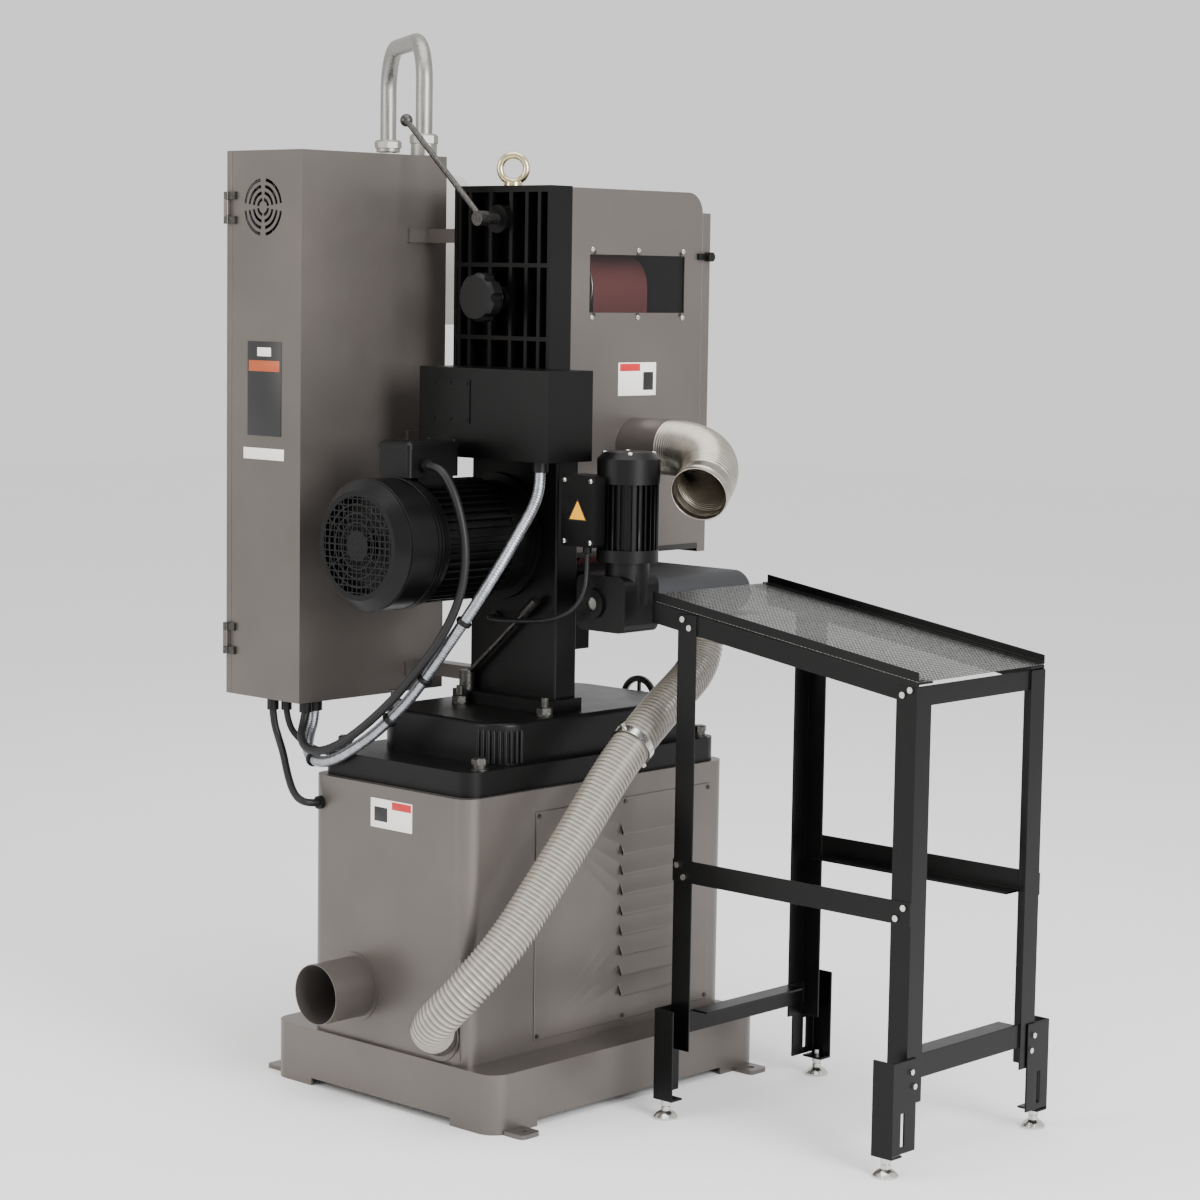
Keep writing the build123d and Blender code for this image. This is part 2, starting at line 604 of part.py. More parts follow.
belt_x = (belt_mid_x - belt_width / 2, belt_mid_x + belt_width / 2)
belt_inner = wheel_radius + air_gap
with BuildPart() as abrasive_belt:
    for radius, mode in ((belt_inner + belt_thickness, Mode.ADD), (belt_inner, Mode.SUBTRACT)):
        loop_plane = Plane(origin=(belt_x[0] - (mode == Mode.SUBTRACT), spindle_y,
                                   (spindle_z + idler_z) / 2),
                           x_dir=(0, 0, 1), z_dir=(1, 0, 0))
        with BuildSketch(loop_plane):
            SlotCenterToCenter(idler_z - spindle_z, 2 * radius)
        extrude(amount=belt_width + 2 * (mode == Mode.SUBTRACT), mode=mode)
save(abrasive_belt, "abrasive_belt")

hub_x = 85.0
ball_at = Vector(hub_x + 11, -227, 1786)
lever_hub = Vector(hub_x + 11, lever_y, lever_z)
lever_run = ball_at - lever_hub
with BuildPart() as tension_lever:
    bar((column_left - 20, lever_y, lever_z), (1, 0, 0), lever_shaft, hub_x + 23 - column_left + 20)
    bar((hub_x, lever_y, lever_z), (1, 0, 0), 14, 23)
    bar(tuple(lever_hub), tuple(lever_run), 5.5, lever_run.length - 4)

with BuildPart() as lever_ball:
    with Locations(tuple(ball_at)):
        Sphere(12)
    bar(tuple(ball_at - lever_run.normalized() * 30), tuple(lever_run), 5.5, 30, Mode.SUBTRACT)

knob_x = (80.0, 114.0)
knob_radius = 45.0
with BuildPart() as tracking_knob:
    bar((knob_x[0], track_y, track_z), (1, 0, 0), 17, 8)
    bar((knob_x[0] + 6, track_y, track_z), (1, 0, 0), knob_radius, knob_x[1] - knob_x[0] - 6)
    chamfer(tracking_knob.edges().filter_by(GeomType.CIRCLE).sort_by(Axis.X)[-1], 6)
    for i in range(7):
        a = 2 * pi * i / 7
        dent = (knob_x[0], track_y + (knob_radius + 6) * cos(a), track_z + (knob_radius + 6) * sin(a))
        bar(dent, (1, 0, 0), 11, 40, Mode.SUBTRACT)
    bar((knob_x[0] - 1, track_y, track_z), (1, 0, 0), track_shaft, 20, Mode.SUBTRACT)

with BuildPart() as tracking_screw:
    bar((column_left + 1, track_y, track_z), (1, 0, 0), track_shaft, knob_x[0] + 19 - column_left - 1)

spring_x = (column_right + 6 + air_gap, knob_x[0] - air_gap)
with BuildPart() as tracking_spring:
    coils = 6
    pitch = (spring_x[1] - spring_x[0] - 3) / (coils - 1)
    for i in range(coils):
        with Locations(Plane(origin=(spring_x[0] + 1.5 + i * pitch, track_y, track_z), z_dir=(1, 0, 0))):
            Torus(11.5, 1.4)

# ---------------------------------------------------------------- conveyor and its lift
way_y = ((-88.0, -58.0), (70.0, 100.0))
way_face = column_left - 14
with BuildPart() as lift_ways:
    for low, high in way_y:
        block((way_face, low, casting_top + 24), (column_left, high, housing_bottom - 8))

saddle_left = -58.0
saddle_z = (814.0, 906.0)
with BuildPart() as conveyor_saddle:
    block((saddle_left, column_front, saddle_z[0]), (way_face - air_gap, 115, saddle_z[1]))
    for low, high in ((column_front, way_y[0][0] - air_gap), (way_y[0][1] + air_gap, way_y[1][0] - air_gap),
                      (way_y[1][1] + air_gap, 115)):
        block((way_face - 1, low, saddle_z[0]), (column_left - air_gap, high, saddle_z[1]))
    block((screw_x - 24, screw_y - 22, saddle_z[0] + 4), (saddle_left, screw_y + 22, saddle_z[0] + 40))
    bar((screw_x, screw_y, saddle_z[0] + 5), (0, 0, -1), screw_radius, saddle_z[0] + 5 - screw_end)

with BuildPart() as lift_nut:
    ring((screw_x, screw_y, casting_top), (0, 0, 1), 18, screw_radius + running_gap, 14)

with BuildPart() as conveyor_bed:
    for x in (bed_left, bed_right - 6):
        block((x, front_roller_y, roller_z - 22), (x + 6, roller_y, roller_z + 22))
        for y in (front_roller_y, roller_y):
            bar((x, y, roller_z), (1, 0, 0), 22, 6)
    block((bed_left, front_roller_y + 45, roller_z + 22), (bed_right, roller_y - 45, roller_z + 30))
    block((bed_left, front_roller_y + 60, roller_z - 12), (bed_right, roller_y - 60, roller_z - 6))
    block((bed_right - 1, column_front, saddle_z[0] + 60), (saddle_left, 115, saddle_z[1]))
    for y in (front_roller_y, roller_y):
        bar((bed_left - 1, y, roller_z), (1, 0, 0), 12 + running_gap, bed_right - bed_left + 2,
            Mode.SUBTRACT)

roller_x = (bed_left + 6 + 0.5, bed_right - 6 - 0.5)
feed_inner = roller_radius + air_gap
feed_thickness = 2.5
with BuildPart() as feed_belt:
    span = roller_y - front_roller_y
    for radius, mode in ((feed_inner + feed_thickness, Mode.ADD), (feed_inner, Mode.SUBTRACT)):
        loop_plane = Plane(origin=(roller_x[0] + 4 - 5 * (mode == Mode.SUBTRACT),
                                   (roller_y + front_roller_y) / 2,
                                   roller_z), x_dir=(0, 1, 0), z_dir=(1, 0, 0))
        with BuildSketch(loop_plane):
            SlotCenterToCenter(span, 2 * radius)
        extrude(amount=roller_x[1] - roller_x[0] - 8 + 10 * (mode == Mode.SUBTRACT), mode=mode)
save(feed_belt, "feed_belt")

gear_left = gear_x - 45
gear_right = gear_x + 45
with BuildPart() as drive_roller:
    bar((roller_x[0], roller_y, roller_z), (1, 0, 0), roller_radius, roller_x[1] - roller_x[0])
    bar((bed_left - 14, roller_y, roller_z), (1, 0, 0), 12, gear_right + 2 - bed_left + 14)

with BuildPart() as idle_roller:
    bar((roller_x[0], front_roller_y, roller_z), (1, 0, 0), roller_radius, roller_x[1] - roller_x[0])
    bar((bed_left - 14, front_roller_y, roller_z), (1, 0, 0), 12, bed_right - bed_left + 22)
save(idle_roller, "idle_roller")

gear_y = roller_y + gear_offset
gear_z = (866.0, 1003.0)
with BuildPart() as gearbox:
    block((gear_left, roller_y - 42, gear_z[0]), (gear_right, gear_y + 37, roller_z + 52))
    fillet(gearbox.edges().filter_by(Axis.X), 16)
    bar((gear_x, gear_y, roller_z), (0, 0, 1), 40, gear_z[1] - 8 - roller_z)
    bar((gear_x, gear_y, gear_z[1] - 10), (0, 0, 1), gearmotor_radius, 10)
    bar((gear_left, roller_y, roller_z), (-1, 0, 0), 34, gear_left - bed_right)
    bar((gear_right, roller_y, roller_z), (1, 0, 0), 27, 6)
    bar((bed_right - 1, roller_y, roller_z), (1, 0, 0), 12 + running_gap, gear_right + 20 - bed_right,
        Mode.SUBTRACT)
    bar((gear_x, roller_y, roller_z), (1, 0, 0), 31, 20, Mode.SUBTRACT)
    bar((gear_x, roller_y, roller_z), (-1, 0, 0), 31, 20, Mode.SUBTRACT)
    bar((gear_x, gear_y, roller_z - 30), (0, 0, 1), 13, gear_z[1] + 40 - roller_z, Mode.SUBTRACT)

with BuildPart() as worm_wheel:
    ring((gear_x - 12, roller_y, roller_z), (1, 0, 0), 27, 12, 24)

motor_low = gear_z[1]
motor_high = 1190.0
with BuildPart() as gearmotor_frame:
    bar((gear_x, gear_y, motor_low), (0, 0, 1), gearmotor_radius, 12)
    bar((gear_x, gear_y, motor_low), (0, 0, 1), gearmotor_radius - 9, 130)
    fins((gear_x, gear_y, motor_low + 12), (0, 0, 1), 28, gearmotor_radius - 11, gearmotor_radius - 1, 2.4,
         118)
    bar((gear_x, gear_y, motor_low - 1), (0, 0, 1), 38, 128, Mode.SUBTRACT)
    bar((gear_x, gear_y, motor_low - 1), (0, 0, 1), 8, 160, Mode.SUBTRACT)

with BuildPart() as gearmotor_rotor:
    bar((gear_x, gear_y, roller_z - 26), (0, 0, 1), 6, motor_low + 165 - roller_z + 26)
    bar((gear_x, gear_y, roller_z - 14), (0, 0, 1), 12, 28)
    bar((gear_x, gear_y, motor_low + 15), (0, 0, 1), 34, 90)
    bar((gear_x, gear_y, motor_low + 140), (0, 0, 1), 16, 22)
    fins((gear_x, gear_y, motor_low + 142), (0, 0, 1), 6, 14, 44, 2, 18)
save(gearmotor_rotor, "gearmotor_rotor")

with BuildPart() as gearmotor_cover:
    turned((gear_x, gear_y, 0), (0, 0, 1),
           [(motor_low + 130, 55), (motor_low + 130, 57), (motor_high - 12, 57), (motor_high, 45),
            (motor_high, 0), (motor_high - 2, 0), (motor_high - 2, 44), (motor_high - 13, 55)])

gbox_x = (gear_x + 33, 100.0)
gbox_y = (190.0, 272.0)
gbox_z = (1020.0, 1148.0)
with BuildPart() as gearmotor_box:
    block((gbox_x[0], gbox_y[0], gbox_z[0]), (gbox_x[1], gbox_y[1], gbox_z[1]))
    fillet(gearmotor_box.edges().filter_by(Axis.X), 6)
    bar((gear_x, gear_y, gbox_z[0] - 10), (0, 0, 1), gearmotor_radius + 1.5, 160, Mode.SUBTRACT)
    for y in (gbox_y[0] + 9, gbox_y[1] - 9):
        for z in (gbox_z[0] + 9, gbox_z[1] - 9):
            bar((gbox_x[1], y, z), (1, 0, 0), 3.5, 2)
    bar((75, 232, gbox_z[0]), (0, 0, -1), 8, 12)

chute_x, chute_y = -231.0, 250.0
chute_end = 864.0
belt_under = roller_z - roller_radius - 3.0
with BuildPart() as dust_chute:
    ring((chute_x, chute_y, chute_end), (0, 0, 1), 40, 36, belt_under - 3 - chute_end)
    block((bed_left, chute_y - 41, belt_under - 3), (bed_right, chute_y + 41, belt_under - 1))
    bar((chute_x, chute_y, chute_end - 1), (0, 0, 1), 36, 20, Mode.SUBTRACT)
    for x in (bed_left, bed_right - 6):
        block((x, chute_y - 41, belt_under - 3), (x + 6, chute_y - 28, roller_z - 20))

hand_x = (-336.0, -318.0)
hand_radius = 46.0
hand_z = wheel_axis_z
with BuildPart() as lift_handwheel:
    rim = hand_radius - 6
    turned((0, hand_y, hand_z), (1, 0, 0),
           [(hand_x[0] + 3, rim - 3), (hand_x[0] + 6, rim - 6), (hand_x[0] + 12, rim - 6),
            (hand_x[0] + 15, rim - 3),
            (hand_x[0] + 15, rim + 3), (hand_x[0] + 12, rim + 6), (hand_x[0] + 6, rim + 6),
            (hand_x[0] + 3, rim + 3)])
    bar((hand_x[0], hand_y, hand_z), (1, 0, 0), 15, hand_x[1] - hand_x[0])
    for i in range(3):
        a = 2 * pi * i / 3 + pi / 2
        bar(((hand_x[0] + hand_x[1]) / 2, hand_y, hand_z), (0, cos(a), sin(a)), 4, hand_radius - 9)
    bar((hand_x[0], hand_y, hand_z), (1, 0, 0), 8, body_x[0] + casting_wall + 8 - hand_x[0])
save(lift_handwheel, "lift_handwheel")

# ---------------------------------------------------------------- electrical cabinet
vent_y, vent_z, vent_radius = -339.0, 1619.0, 58.0
cab_sheet = 2.0
opening = 18.0                   # flange left round the door opening
cabinet_mid_x = (cabinet_left + cabinet_right) / 2
door_line = cabinet_front + cabinet_door
with BuildPart() as cabinet_shell:
    block((cabinet_left, door_line, cabinet_bottom), (cabinet_right, cabinet_rear, cabinet_top))
    block((cabinet_left + cab_sheet, door_line + cab_sheet, cabinet_bottom + cab_sheet),
          (cabinet_right - cab_sheet, cabinet_rear - cab_sheet, cabinet_top - cab_sheet), Mode.SUBTRACT)
    block((cabinet_left + opening, door_line - 1, cabinet_bottom + opening),
          (cabinet_right - opening, door_line + cab_sheet + 1, cabinet_top - opening), Mode.SUBTRACT)
    for r in (14.0, 26.0, 38.0, 50.0):
        for k in range(4):
            start = 90 * k + 8
            sweep_angle = 74
            points = []
            for j in range(9):
                a = radians(start + sweep_angle * j / 8)
                points.append((vent_y + (r + 3) * cos(a), vent_z + (r + 3) * sin(a)))
            for j in range(8, -1, -1):
                a = radians(start + sweep_angle * j / 8)
                points.append((vent_y + (r - 3) * cos(a), vent_z + (r - 3) * sin(a)))
            with BuildSketch(Plane.YZ.offset(cabinet_right - 5)) as vent_slot:
                with BuildLine():
                    Polyline(*points, close=True)
                make_face()
            extrude(vent_slot.sketch, amount=10, mode=Mode.SUBTRACT)
    for z in (740.0, 1180.0, 1560.0):
        block((12, cabinet_rear, z), (column_right, column_front if z < column_top else head_front, z + 26))
        block((12, cabinet_rear, z), (column_right + 40, cabinet_rear + 6, z + 26))

backplate_y = cabinet_rear - 22.0
with BuildPart() as cabinet_backplate:
    block((cabinet_left + 22, backplate_y - 2, cabinet_bottom + 45), (cabinet_right - 22, backplate_y,
                                                                      cabinet_top - 45))
    for x in (cabinet_left + 35, cabinet_right - 35):
        for z in (cabinet_bottom + 60, cabinet_top - 60):
            bar((x, backplate_y, z), (0, 1, 0), 5, cabinet_rear - cab_sheet - backplate_y)

with BuildPart() as cabinet_devices:
    front = backplate_y - 2
    block((60, front - 120, 1290), (190, front, 1530))
    for i in range(4):
        block((40 + i * 56, front - 82, 1160), (86 + i * 56, front, 1240))
    block((40, front - 45, 1060), (290, front, 1110))
    block((40, front - 60, 800), (280, front, 838))
    block((80, front - 110, 880), (230, front, 990))
    for z in (1020.0, 1255.0, 1560.0):
        block((20, front - 55, z), (310, front, z + 30))

fan_hub_x = cabinet_right - cab_sheet
with BuildPart() as fan_frame:
    block((fan_hub_x - 26, vent_y - 60, vent_z - 60), (fan_hub_x, vent_y + 60, vent_z + 60))
    bar((fan_hub_x - 27, vent_y, vent_z), (1, 0, 0), 56, 30, Mode.SUBTRACT)
    bar((fan_hub_x - 26, vent_y, vent_z), (1, 0, 0), 18, 3)
    fins((fan_hub_x - 26, vent_y, vent_z), (1, 0, 0), 4, 16, 58, 5, 3)
    bar((fan_hub_x - 26, vent_y, vent_z), (1, 0, 0), 3, 8)

with BuildPart() as vent_fan:
    ring((fan_hub_x - 22, vent_y, vent_z), (1, 0, 0), 20, 3 + running_gap, 19)
    fins((fan_hub_x - 21, vent_y, vent_z), (1, 0, 0), 7, 19, 52, 3, 16)
save(vent_fan, "vent_fan")

cab_pin = (cabinet_right + 6, cabinet_front + 6)
lock_x, lock_z = 8.0, 1216.0
switch_x, switch_z = 150.0, 1560.0
with BuildPart() as cabinet_door_panel:
    block((cabinet_left, cabinet_front, cabinet_bottom), (cabinet_right, door_line - 1, cabinet_top))
    block((cabinet_left + cab_sheet, cabinet_front + cab_sheet, cabinet_bottom + cab_sheet),
          (cabinet_right - cab_sheet, door_line, cabinet_top - cab_sheet), Mode.SUBTRACT)
    for z in (cabinet_bottom + 90, cabinet_top - 120):
        ring((cab_pin[0], cab_pin[1], z), (0, 0, 1), 5.5, 3 + running_gap, 30)
        block((cabinet_right - 1, cabinet_front, z), (cab_pin[0] - 4, cabinet_front + 9, z + 30))
    bar((lock_x, cabinet_front - 1, lock_z), (0, 1, 0), 9 + running_gap, 10, Mode.SUBTRACT)
    bar((switch_x, cabinet_front - 1, switch_z), (0, 1, 0), 9 + running_gap, 10, Mode.SUBTRACT)
save(cabinet_door_panel, "cabinet_door")

with BuildPart() as cabinet_pins:
    for z in (cabinet_bottom + 90, cabinet_top - 120):
        bar((cab_pin[0], cab_pin[1], z - 12), (0, 0, 1), 3, 54)
        for low in (z - 14.5, z + 30.5):
            bar((cab_pin[0], cab_pin[1], low), (0, 0, 1), 5.5, 14)
            block((cabinet_right + 1, cab_pin[1] - 2, low), (cab_pin[0], door_line + 14, low + 14))
            block((cabinet_right, door_line + 0.5, low), (cabinet_right + 1, door_line + 14, low + 14))

with BuildPart() as door_lock:
    bar((lock_x, cabinet_front - 12, lock_z), (0, 1, 0), 9, 18)
    block((lock_x - 9, cabinet_front - 18, lock_z - 60), (lock_x + 9, cabinet_front - 3, lock_z + 12))
save(door_lock, "door_lock")

with BuildPart() as main_switch:
    bar((switch_x, cabinet_front - 12, switch_z), (0, 1, 0), 9, 18)
    bar((switch_x, cabinet_front - 8, switch_z), (0, 1, 0), 24, 6)
    block((switch_x - 7, cabinet_front - 26, switch_z - 24), (switch_x + 7, cabinet_front - 8,
                                                              switch_z + 24))
save(main_switch, "main_switch")

# ---------------------------------------------------------------- support pipe and swivelling console
joint_gap = 2.0
pipe_path = [(near_leg[0], near_leg[1], cabinet_top), (near_leg[0], near_leg[1], pipe_top),
             (far_leg[0], far_leg[1], pipe_top), (far_leg[0], far_leg[1], console_top + joint_gap)]
with BuildPart() as support_pipe:
    with BuildLine():
        FilletPolyline(*pipe_path, radius=pipe_bend)
    with BuildSketch(Plane(origin=pipe_path[0], z_dir=(0, 0, 1))):
        Circle(pipe_radius)
        Circle(pipe_radius - 2.5, mode=Mode.SUBTRACT)
    sweep()
    ring((near_leg[0], near_leg[1], cabinet_top), (0, 0, 1), 25, pipe_radius - 1, 24)
    ring((far_leg[0], far_leg[1], console_top + 42), (0, 0, 1), 24, pipe_radius - 1, 8)
save(support_pipe, "support_pipe")

button_y = console_front - 4.0
start_at, stop_at, stop_all_at, speed_at = (-275.0, 1600.0), (-215.0, 1600.0), (-120.0, 1590.0), (-245.0,
                                                                                                  1500.0)
with BuildPart() as console_box:
    block((console_left, console_front, console_bottom), (console_right, console_rear, console_top))
    upper = console_box.edges().filter_by(Axis.Y).sort_by(Axis.Z)[-2:]
    fillet(upper, 30)
    block((console_left + 3, console_front + 3, console_bottom + 3), (console_right - 3, console_rear - 3,
                                                                      console_top - 33),
          Mode.SUBTRACT)
    block((console_left + 34, console_front + 3, console_top - 34), (console_right - 34, console_rear - 3,
                                                                     console_top - 3),
          Mode.SUBTRACT)
    block((console_left + 15, console_front - 3, console_bottom + 20), (console_right - 15, console_front,
                                                                        console_top - 45))
    for x, z in (start_at, stop_at, stop_all_at, speed_at):
        bar((x, console_front - 4, z), (0, 1, 0), 10 + 0.1, 10, Mode.SUBTRACT)
    ring((far_leg[0], far_leg[1], console_top), (0, 0, 1), 26, pipe_radius + running_gap, 40)
save(console_box, "console_box")

for label, (x, z), head, depth in (("start_button", start_at, 15, 7), ("stop_button", stop_at, 15, 7),
                                   ("emergency_stop", stop_all_at, 22, 14)):
    with BuildPart() as push_button:
        bar((x, console_front - 8, z), (0, 1, 0), 10, 24)
        bar((x, console_front - 8 - depth, z), (0, 1, 0), head, depth)
    save(push_button, label)

with BuildPart() as speed_knob:
    bar((speed_at[0], console_front - 8, speed_at[1]), (0, 1, 0), 10, 24)
    bar((speed_at[0], console_front - 24, speed_at[1]), (0, 1, 0), 17, 16)
    block((speed_at[0] - 2, console_front - 26, speed_at[1]), (speed_at[0] + 2, console_front - 23,
                                                               speed_at[1] + 16))
save(speed_knob, "speed_knob")

# ---------------------------------------------------------------- column clamp lever
clamp_x, clamp_y, clamp_z = column_right + 17, -86.0, casting_top + 22
grip_run = (0.0, 173.0, 151.0)
with BuildPart() as clamp_lever:
    bar((clamp_x, clamp_y, clamp_z + air_gap), (0, 0, 1), 14, 36)
    bar((clamp_x, clamp_y, clamp_z + 26), grip_run, 5, 214)
    tip = Vector(clamp_x, clamp_y, clamp_z + 26) + Vector(*grip_run).normalized() * 196
    bar(tuple(tip), grip_run, 9, 42)
save(clamp_lever, "column_clamp_lever")

# ---------------------------------------------------------------- outfeed table
tray_slope = (rail_high - rail_low) / (table_end - table_start)
strip_height = 16.0
band_height = 38.0
gear_rear = gear_y + gearmotor_radius


def rail_z(y):
    """Height of the top edge of the tray strips."""
    return rail_high - tray_slope * (y - table_start)


def slanted(x_low, x_high, y_low, y_high, below_low, below_high, mode=Mode.ADD):
    """A bar that follows the slope of the tray, between two depths below its top edge."""
    with BuildSketch(Plane.YZ.offset(x_low)) as side:
        with BuildLine():
            Polyline((y_low, rail_z(y_low) - below_low), (y_high, rail_z(y_high) - below_low),
                     (y_high, rail_z(y_high) - below_high), (y_low, rail_z(y_low) - below_high), close=True)
        make_face()
    extrude(side.sketch, amount=x_high - x_low, mode=mode)


def table_leg(x, sx, y, sy, low, high):
    """An upright angle iron whose outer corner is at (x, y)."""
    xs = sorted((x, x + sx * angle_iron))
    ys = sorted((y, y + sy * angle_wall))
    block((xs[0], ys[0], low), (xs[1], ys[1], high))
    xs = sorted((x, x + sx * angle_wall))
    ys = sorted((y, y + sy * angle_iron))
    block((xs[0], ys[0], low), (xs[1], ys[1], high))


leg_start = 401.0
leg_low = 120.0
mid_low, mid_high = 428.0, 468.0
foot_out = 29.0
with BuildPart() as table_frame:
    for x, sx in ((table_near, -1), (table_far, 1)):
        rail_start = gear_rear + 5 if sx < 0 else table_start
        inside = sorted((x, x + sx * angle_wall))
        shelf = sorted((x, x + sx * angle_iron))
        slanted(inside[0], inside[1], rail_start, table_end, strip_height + 2,
                strip_height + 2 + band_height)
        slanted(shelf[0], shelf[1], rail_start, table_end, strip_height + 2, strip_height + 2 + angle_wall)
        for y, sy in ((leg_start, 1), (table_end, -1)):
            table_leg(x - sx * angle_wall, sx, y, sy, leg_low, rail_z(y) - strip_height - 9)
        mids = sorted((x - sx * 2 * angle_wall, x - sx * angle_wall))
        block((mids[0], leg_start, mid_low), (mids[1], table_end, mid_high))
        shelf = sorted((x - sx * angle_wall, x + sx * (angle_iron - 2 * angle_wall)))
        block((shelf[0], leg_start + angle_iron, mid_low), (shelf[1], table_end - angle_iron,
                                                            mid_low + angle_wall))
        block((mids[0], leg_start, mid_low), (mids[1] + 0.0, table_end, mid_low + angle_wall))
    near, far = table_near + angle_wall, table_far - angle_wall
    for y, sy, low in ((leg_start, 1, 142), (table_end, -1, 160)):
        ys = sorted((y + sy * angle_wall, y + sy * 2 * angle_wall))
        block((far + angle_wall, ys[0], low), (near - angle_wall, ys[1], low + angle_iron))
        ys = sorted((y + sy * angle_wall, y + sy * angle_iron))
        block((far + 50, ys[0], low + angle_iron - angle_wall), (near - 50, ys[1], low + angle_iron))
    end_top = rail_z(table_end) - strip_height - 9
    block((far, table_end - 2 * angle_wall, end_top - 34), (near, table_end - angle_wall, end_top))

slot_width = 9.0
with BuildPart() as leg_extensions:
    for x, sx in ((table_near + angle_wall, -1), (table_far - angle_wall, 1)):
        outer = x - sx * (foot_out + 12)
        for y, sy in ((leg_start, 1), (table_end, -1)):
            plate = sorted((y, y - sy * angle_wall))
            xs = sorted((outer, x + sx * 24))
            block((xs[0], plate[0], 40), (xs[1], plate[1], 200))
            wall = sorted((outer, outer + sx * angle_wall))
            ys = sorted((y - sy * angle_wall, y + sy * 40))
            block((wall[0], ys[0], 34), (wall[1], ys[1], 200))
            tab = sorted((outer, outer + sx * 30))
            block((tab[0], ys[0], 34), (tab[1], ys[1], 38))
            middle = x - sx * 12
            block((middle - slot_width / 2, plate[0] - 1, 52), (middle + slot_width / 2, plate[1] + 1,
                                                                110), Mode.SUBTRACT)
            stud_x, stud_y = outer + sx * 12, y + sy * 17
            bar((stud_x, stud_y, 30), (0, 0, 1), 5, 12, Mode.SUBTRACT)
save(leg_extensions, "leg_extensions")

hole_pitch = 16.0
hole_radius = 4.6
with BuildPart() as tray_mesh:
    slanted(table_far + 0.5, table_near - 0.5, table_start, table_end, strip_height, strip_height + 2)
    block((-50, table_start - 5, 700), (table_near + 1, gear_rear + 5, 1100), Mode.SUBTRACT)
    # two sheets, which meet in line with the notch
    block((-50.1, table_start - 5, 700), (-49.9, table_end + 5, 1100), Mode.SUBTRACT)
    columns = int((table_near - table_far - 60) / hole_pitch)
    rows = int((table_end - table_start - 60) / (hole_pitch * 2))
    first = ((table_near + table_far) / 2 - (columns - 1) * hole_pitch / 2, table_start + 48)
    with BuildSketch(Plane.XY.offset(rail_low - 60)) as holes:
        for j in range(rows):
            for i in range(columns):
                with Locations((first[0] + i * hole_pitch, first[1] + j * 2 * hole_pitch)):
                    Circle(hole_radius)
    extrude(holes.sketch, amount=rail_high - rail_low + 120, mode=Mode.SUBTRACT)
save(tray_mesh, "tray_mesh")

with BuildPart() as tray_strips:
    slanted(table_near - 2.5, table_near, gear_rear + 5, table_end, 0, strip_height)
    slanted(table_far, table_far + 2.5, table_start, table_end, 0, strip_height)
    slanted(table_near - 16, table_near, gear_rear + 5, table_end, strip_height - 2.5, strip_height)
    slanted(table_far, table_far + 16, table_start, table_end, strip_height - 2.5, strip_height)

with BuildPart() as table_fixings:
    for x, sx in ((table_near + angle_wall, -1), (table_far - angle_wall, 1)):
        for y, sy in ((leg_start, 1), (table_end, -1)):
            for step in (0, 1):
                upright = y + sy * (12 + 16 * step)
                edge = sorted((x, x - sx * 4))[0] if sx < 0 else x - 4
                bar((edge, upright, rail_z(upright) - 32 - 12 * step), (1, 0, 0), 5.5, 4)
                edge = x - sx * angle_wall if sx < 0 else x - angle_wall - 4
                bar((edge, upright, mid_high - 10 - 20 * step), (1, 0, 0), 5.5, 4)
            outer = x - sx * (foot_out + 12)
            stud_x, stud_y = outer + sx * 12, y + sy * 17
            bar((stud_x, stud_y, 8), (0, 0, 1), 5, 40)
            bar((stud_x, stud_y, 24), (0, 0, 1), 9, 10)
            turned((stud_x, stud_y, 0), (0, 0, 1), [(0, 0), (0, 21), (4, 22), (10, 17), (15, 9), (22, 8),
                                                    (22, 0)])
            for step in (0, 1):
                plate = y - sy * angle_wall
                start = plate - 4 if sy > 0 else plate
                bar((x + sx * (8 + 8 * step), start, 178 - 26 * step), (0, 1, 0), 5, 4)
save(table_fixings, "table_fixings")

# ---------------------------------------------------------------- hose, conduit and cables
hose_radius, conduit_radius, motor_cable_radius = 37.5, 10.5, 8.0
gear_cable_radius, supply_radius, control_radius = 4.5, 7.0, 6.0
hose_points = [
    (373, 159, 166), (399, 172, 176), (412, 198, 199), (409, 227, 228), (389, 254, 264), (355, 275, 306),
    (312, 287, 352), (262, 293, 408), (209, 297, 467), (155, 299, 526), (100, 297, 584), (42, 293, 637),
    (-22, 289, 683), (-88, 281, 722), (-150, 270, 751), (-190, 261, 771), (-217, 254, 796), (-231, 250, 829),
    (-231, 250, 864)]
conduit_points = [
    (115, 150, 1150), (116, 151, 1127), (126, 153, 1101), (148, 157, 1074), (178, 160, 1043),
    (208, 160, 1006), (234, 151, 966), (254, 136, 926), (268, 114, 885), (278, 88, 846), (285, 60, 807),
    (290, 32, 771), (297, 4, 736), (309, -27, 702), (326, -58, 669), (344, -92, 641), (350, -130, 619),
    (351, -168, 608), (344, -205, 610), (328, -235, 625), (305, -255, 646), (289, -262, 667), (286, -263,
                                                                                               689)]
motor_cable_points = [
    (280, 32, 1160), (280, 53, 1159), (280, 74, 1148), (278, 96, 1117), (275, 112, 1073), (273, 121, 1025),
    (274, 122, 977), (279, 115, 931), (288, 100, 887), (298, 79, 846), (306, 54, 812), (312, 26, 780),
    (320, -1, 748), (332, -31, 716), (348, -62, 684), (363, -96, 656), (370, -134, 637), (370, -172, 630),
    (361, -207, 635), (343, -236, 650), (324, -250, 668), (317, -252, 689)]
gear_cable_points = [
    (75, 232, 1007.9), (75, 232, 976), (83, 235, 938), (94, 220, 906), (103, 190, 889), (106, 152, 880),
    (107, 110, 876), (104, 68, 873), (100, 34, 872), (91, 4, 871), (76, -16, 870), (55, -22, 870)]
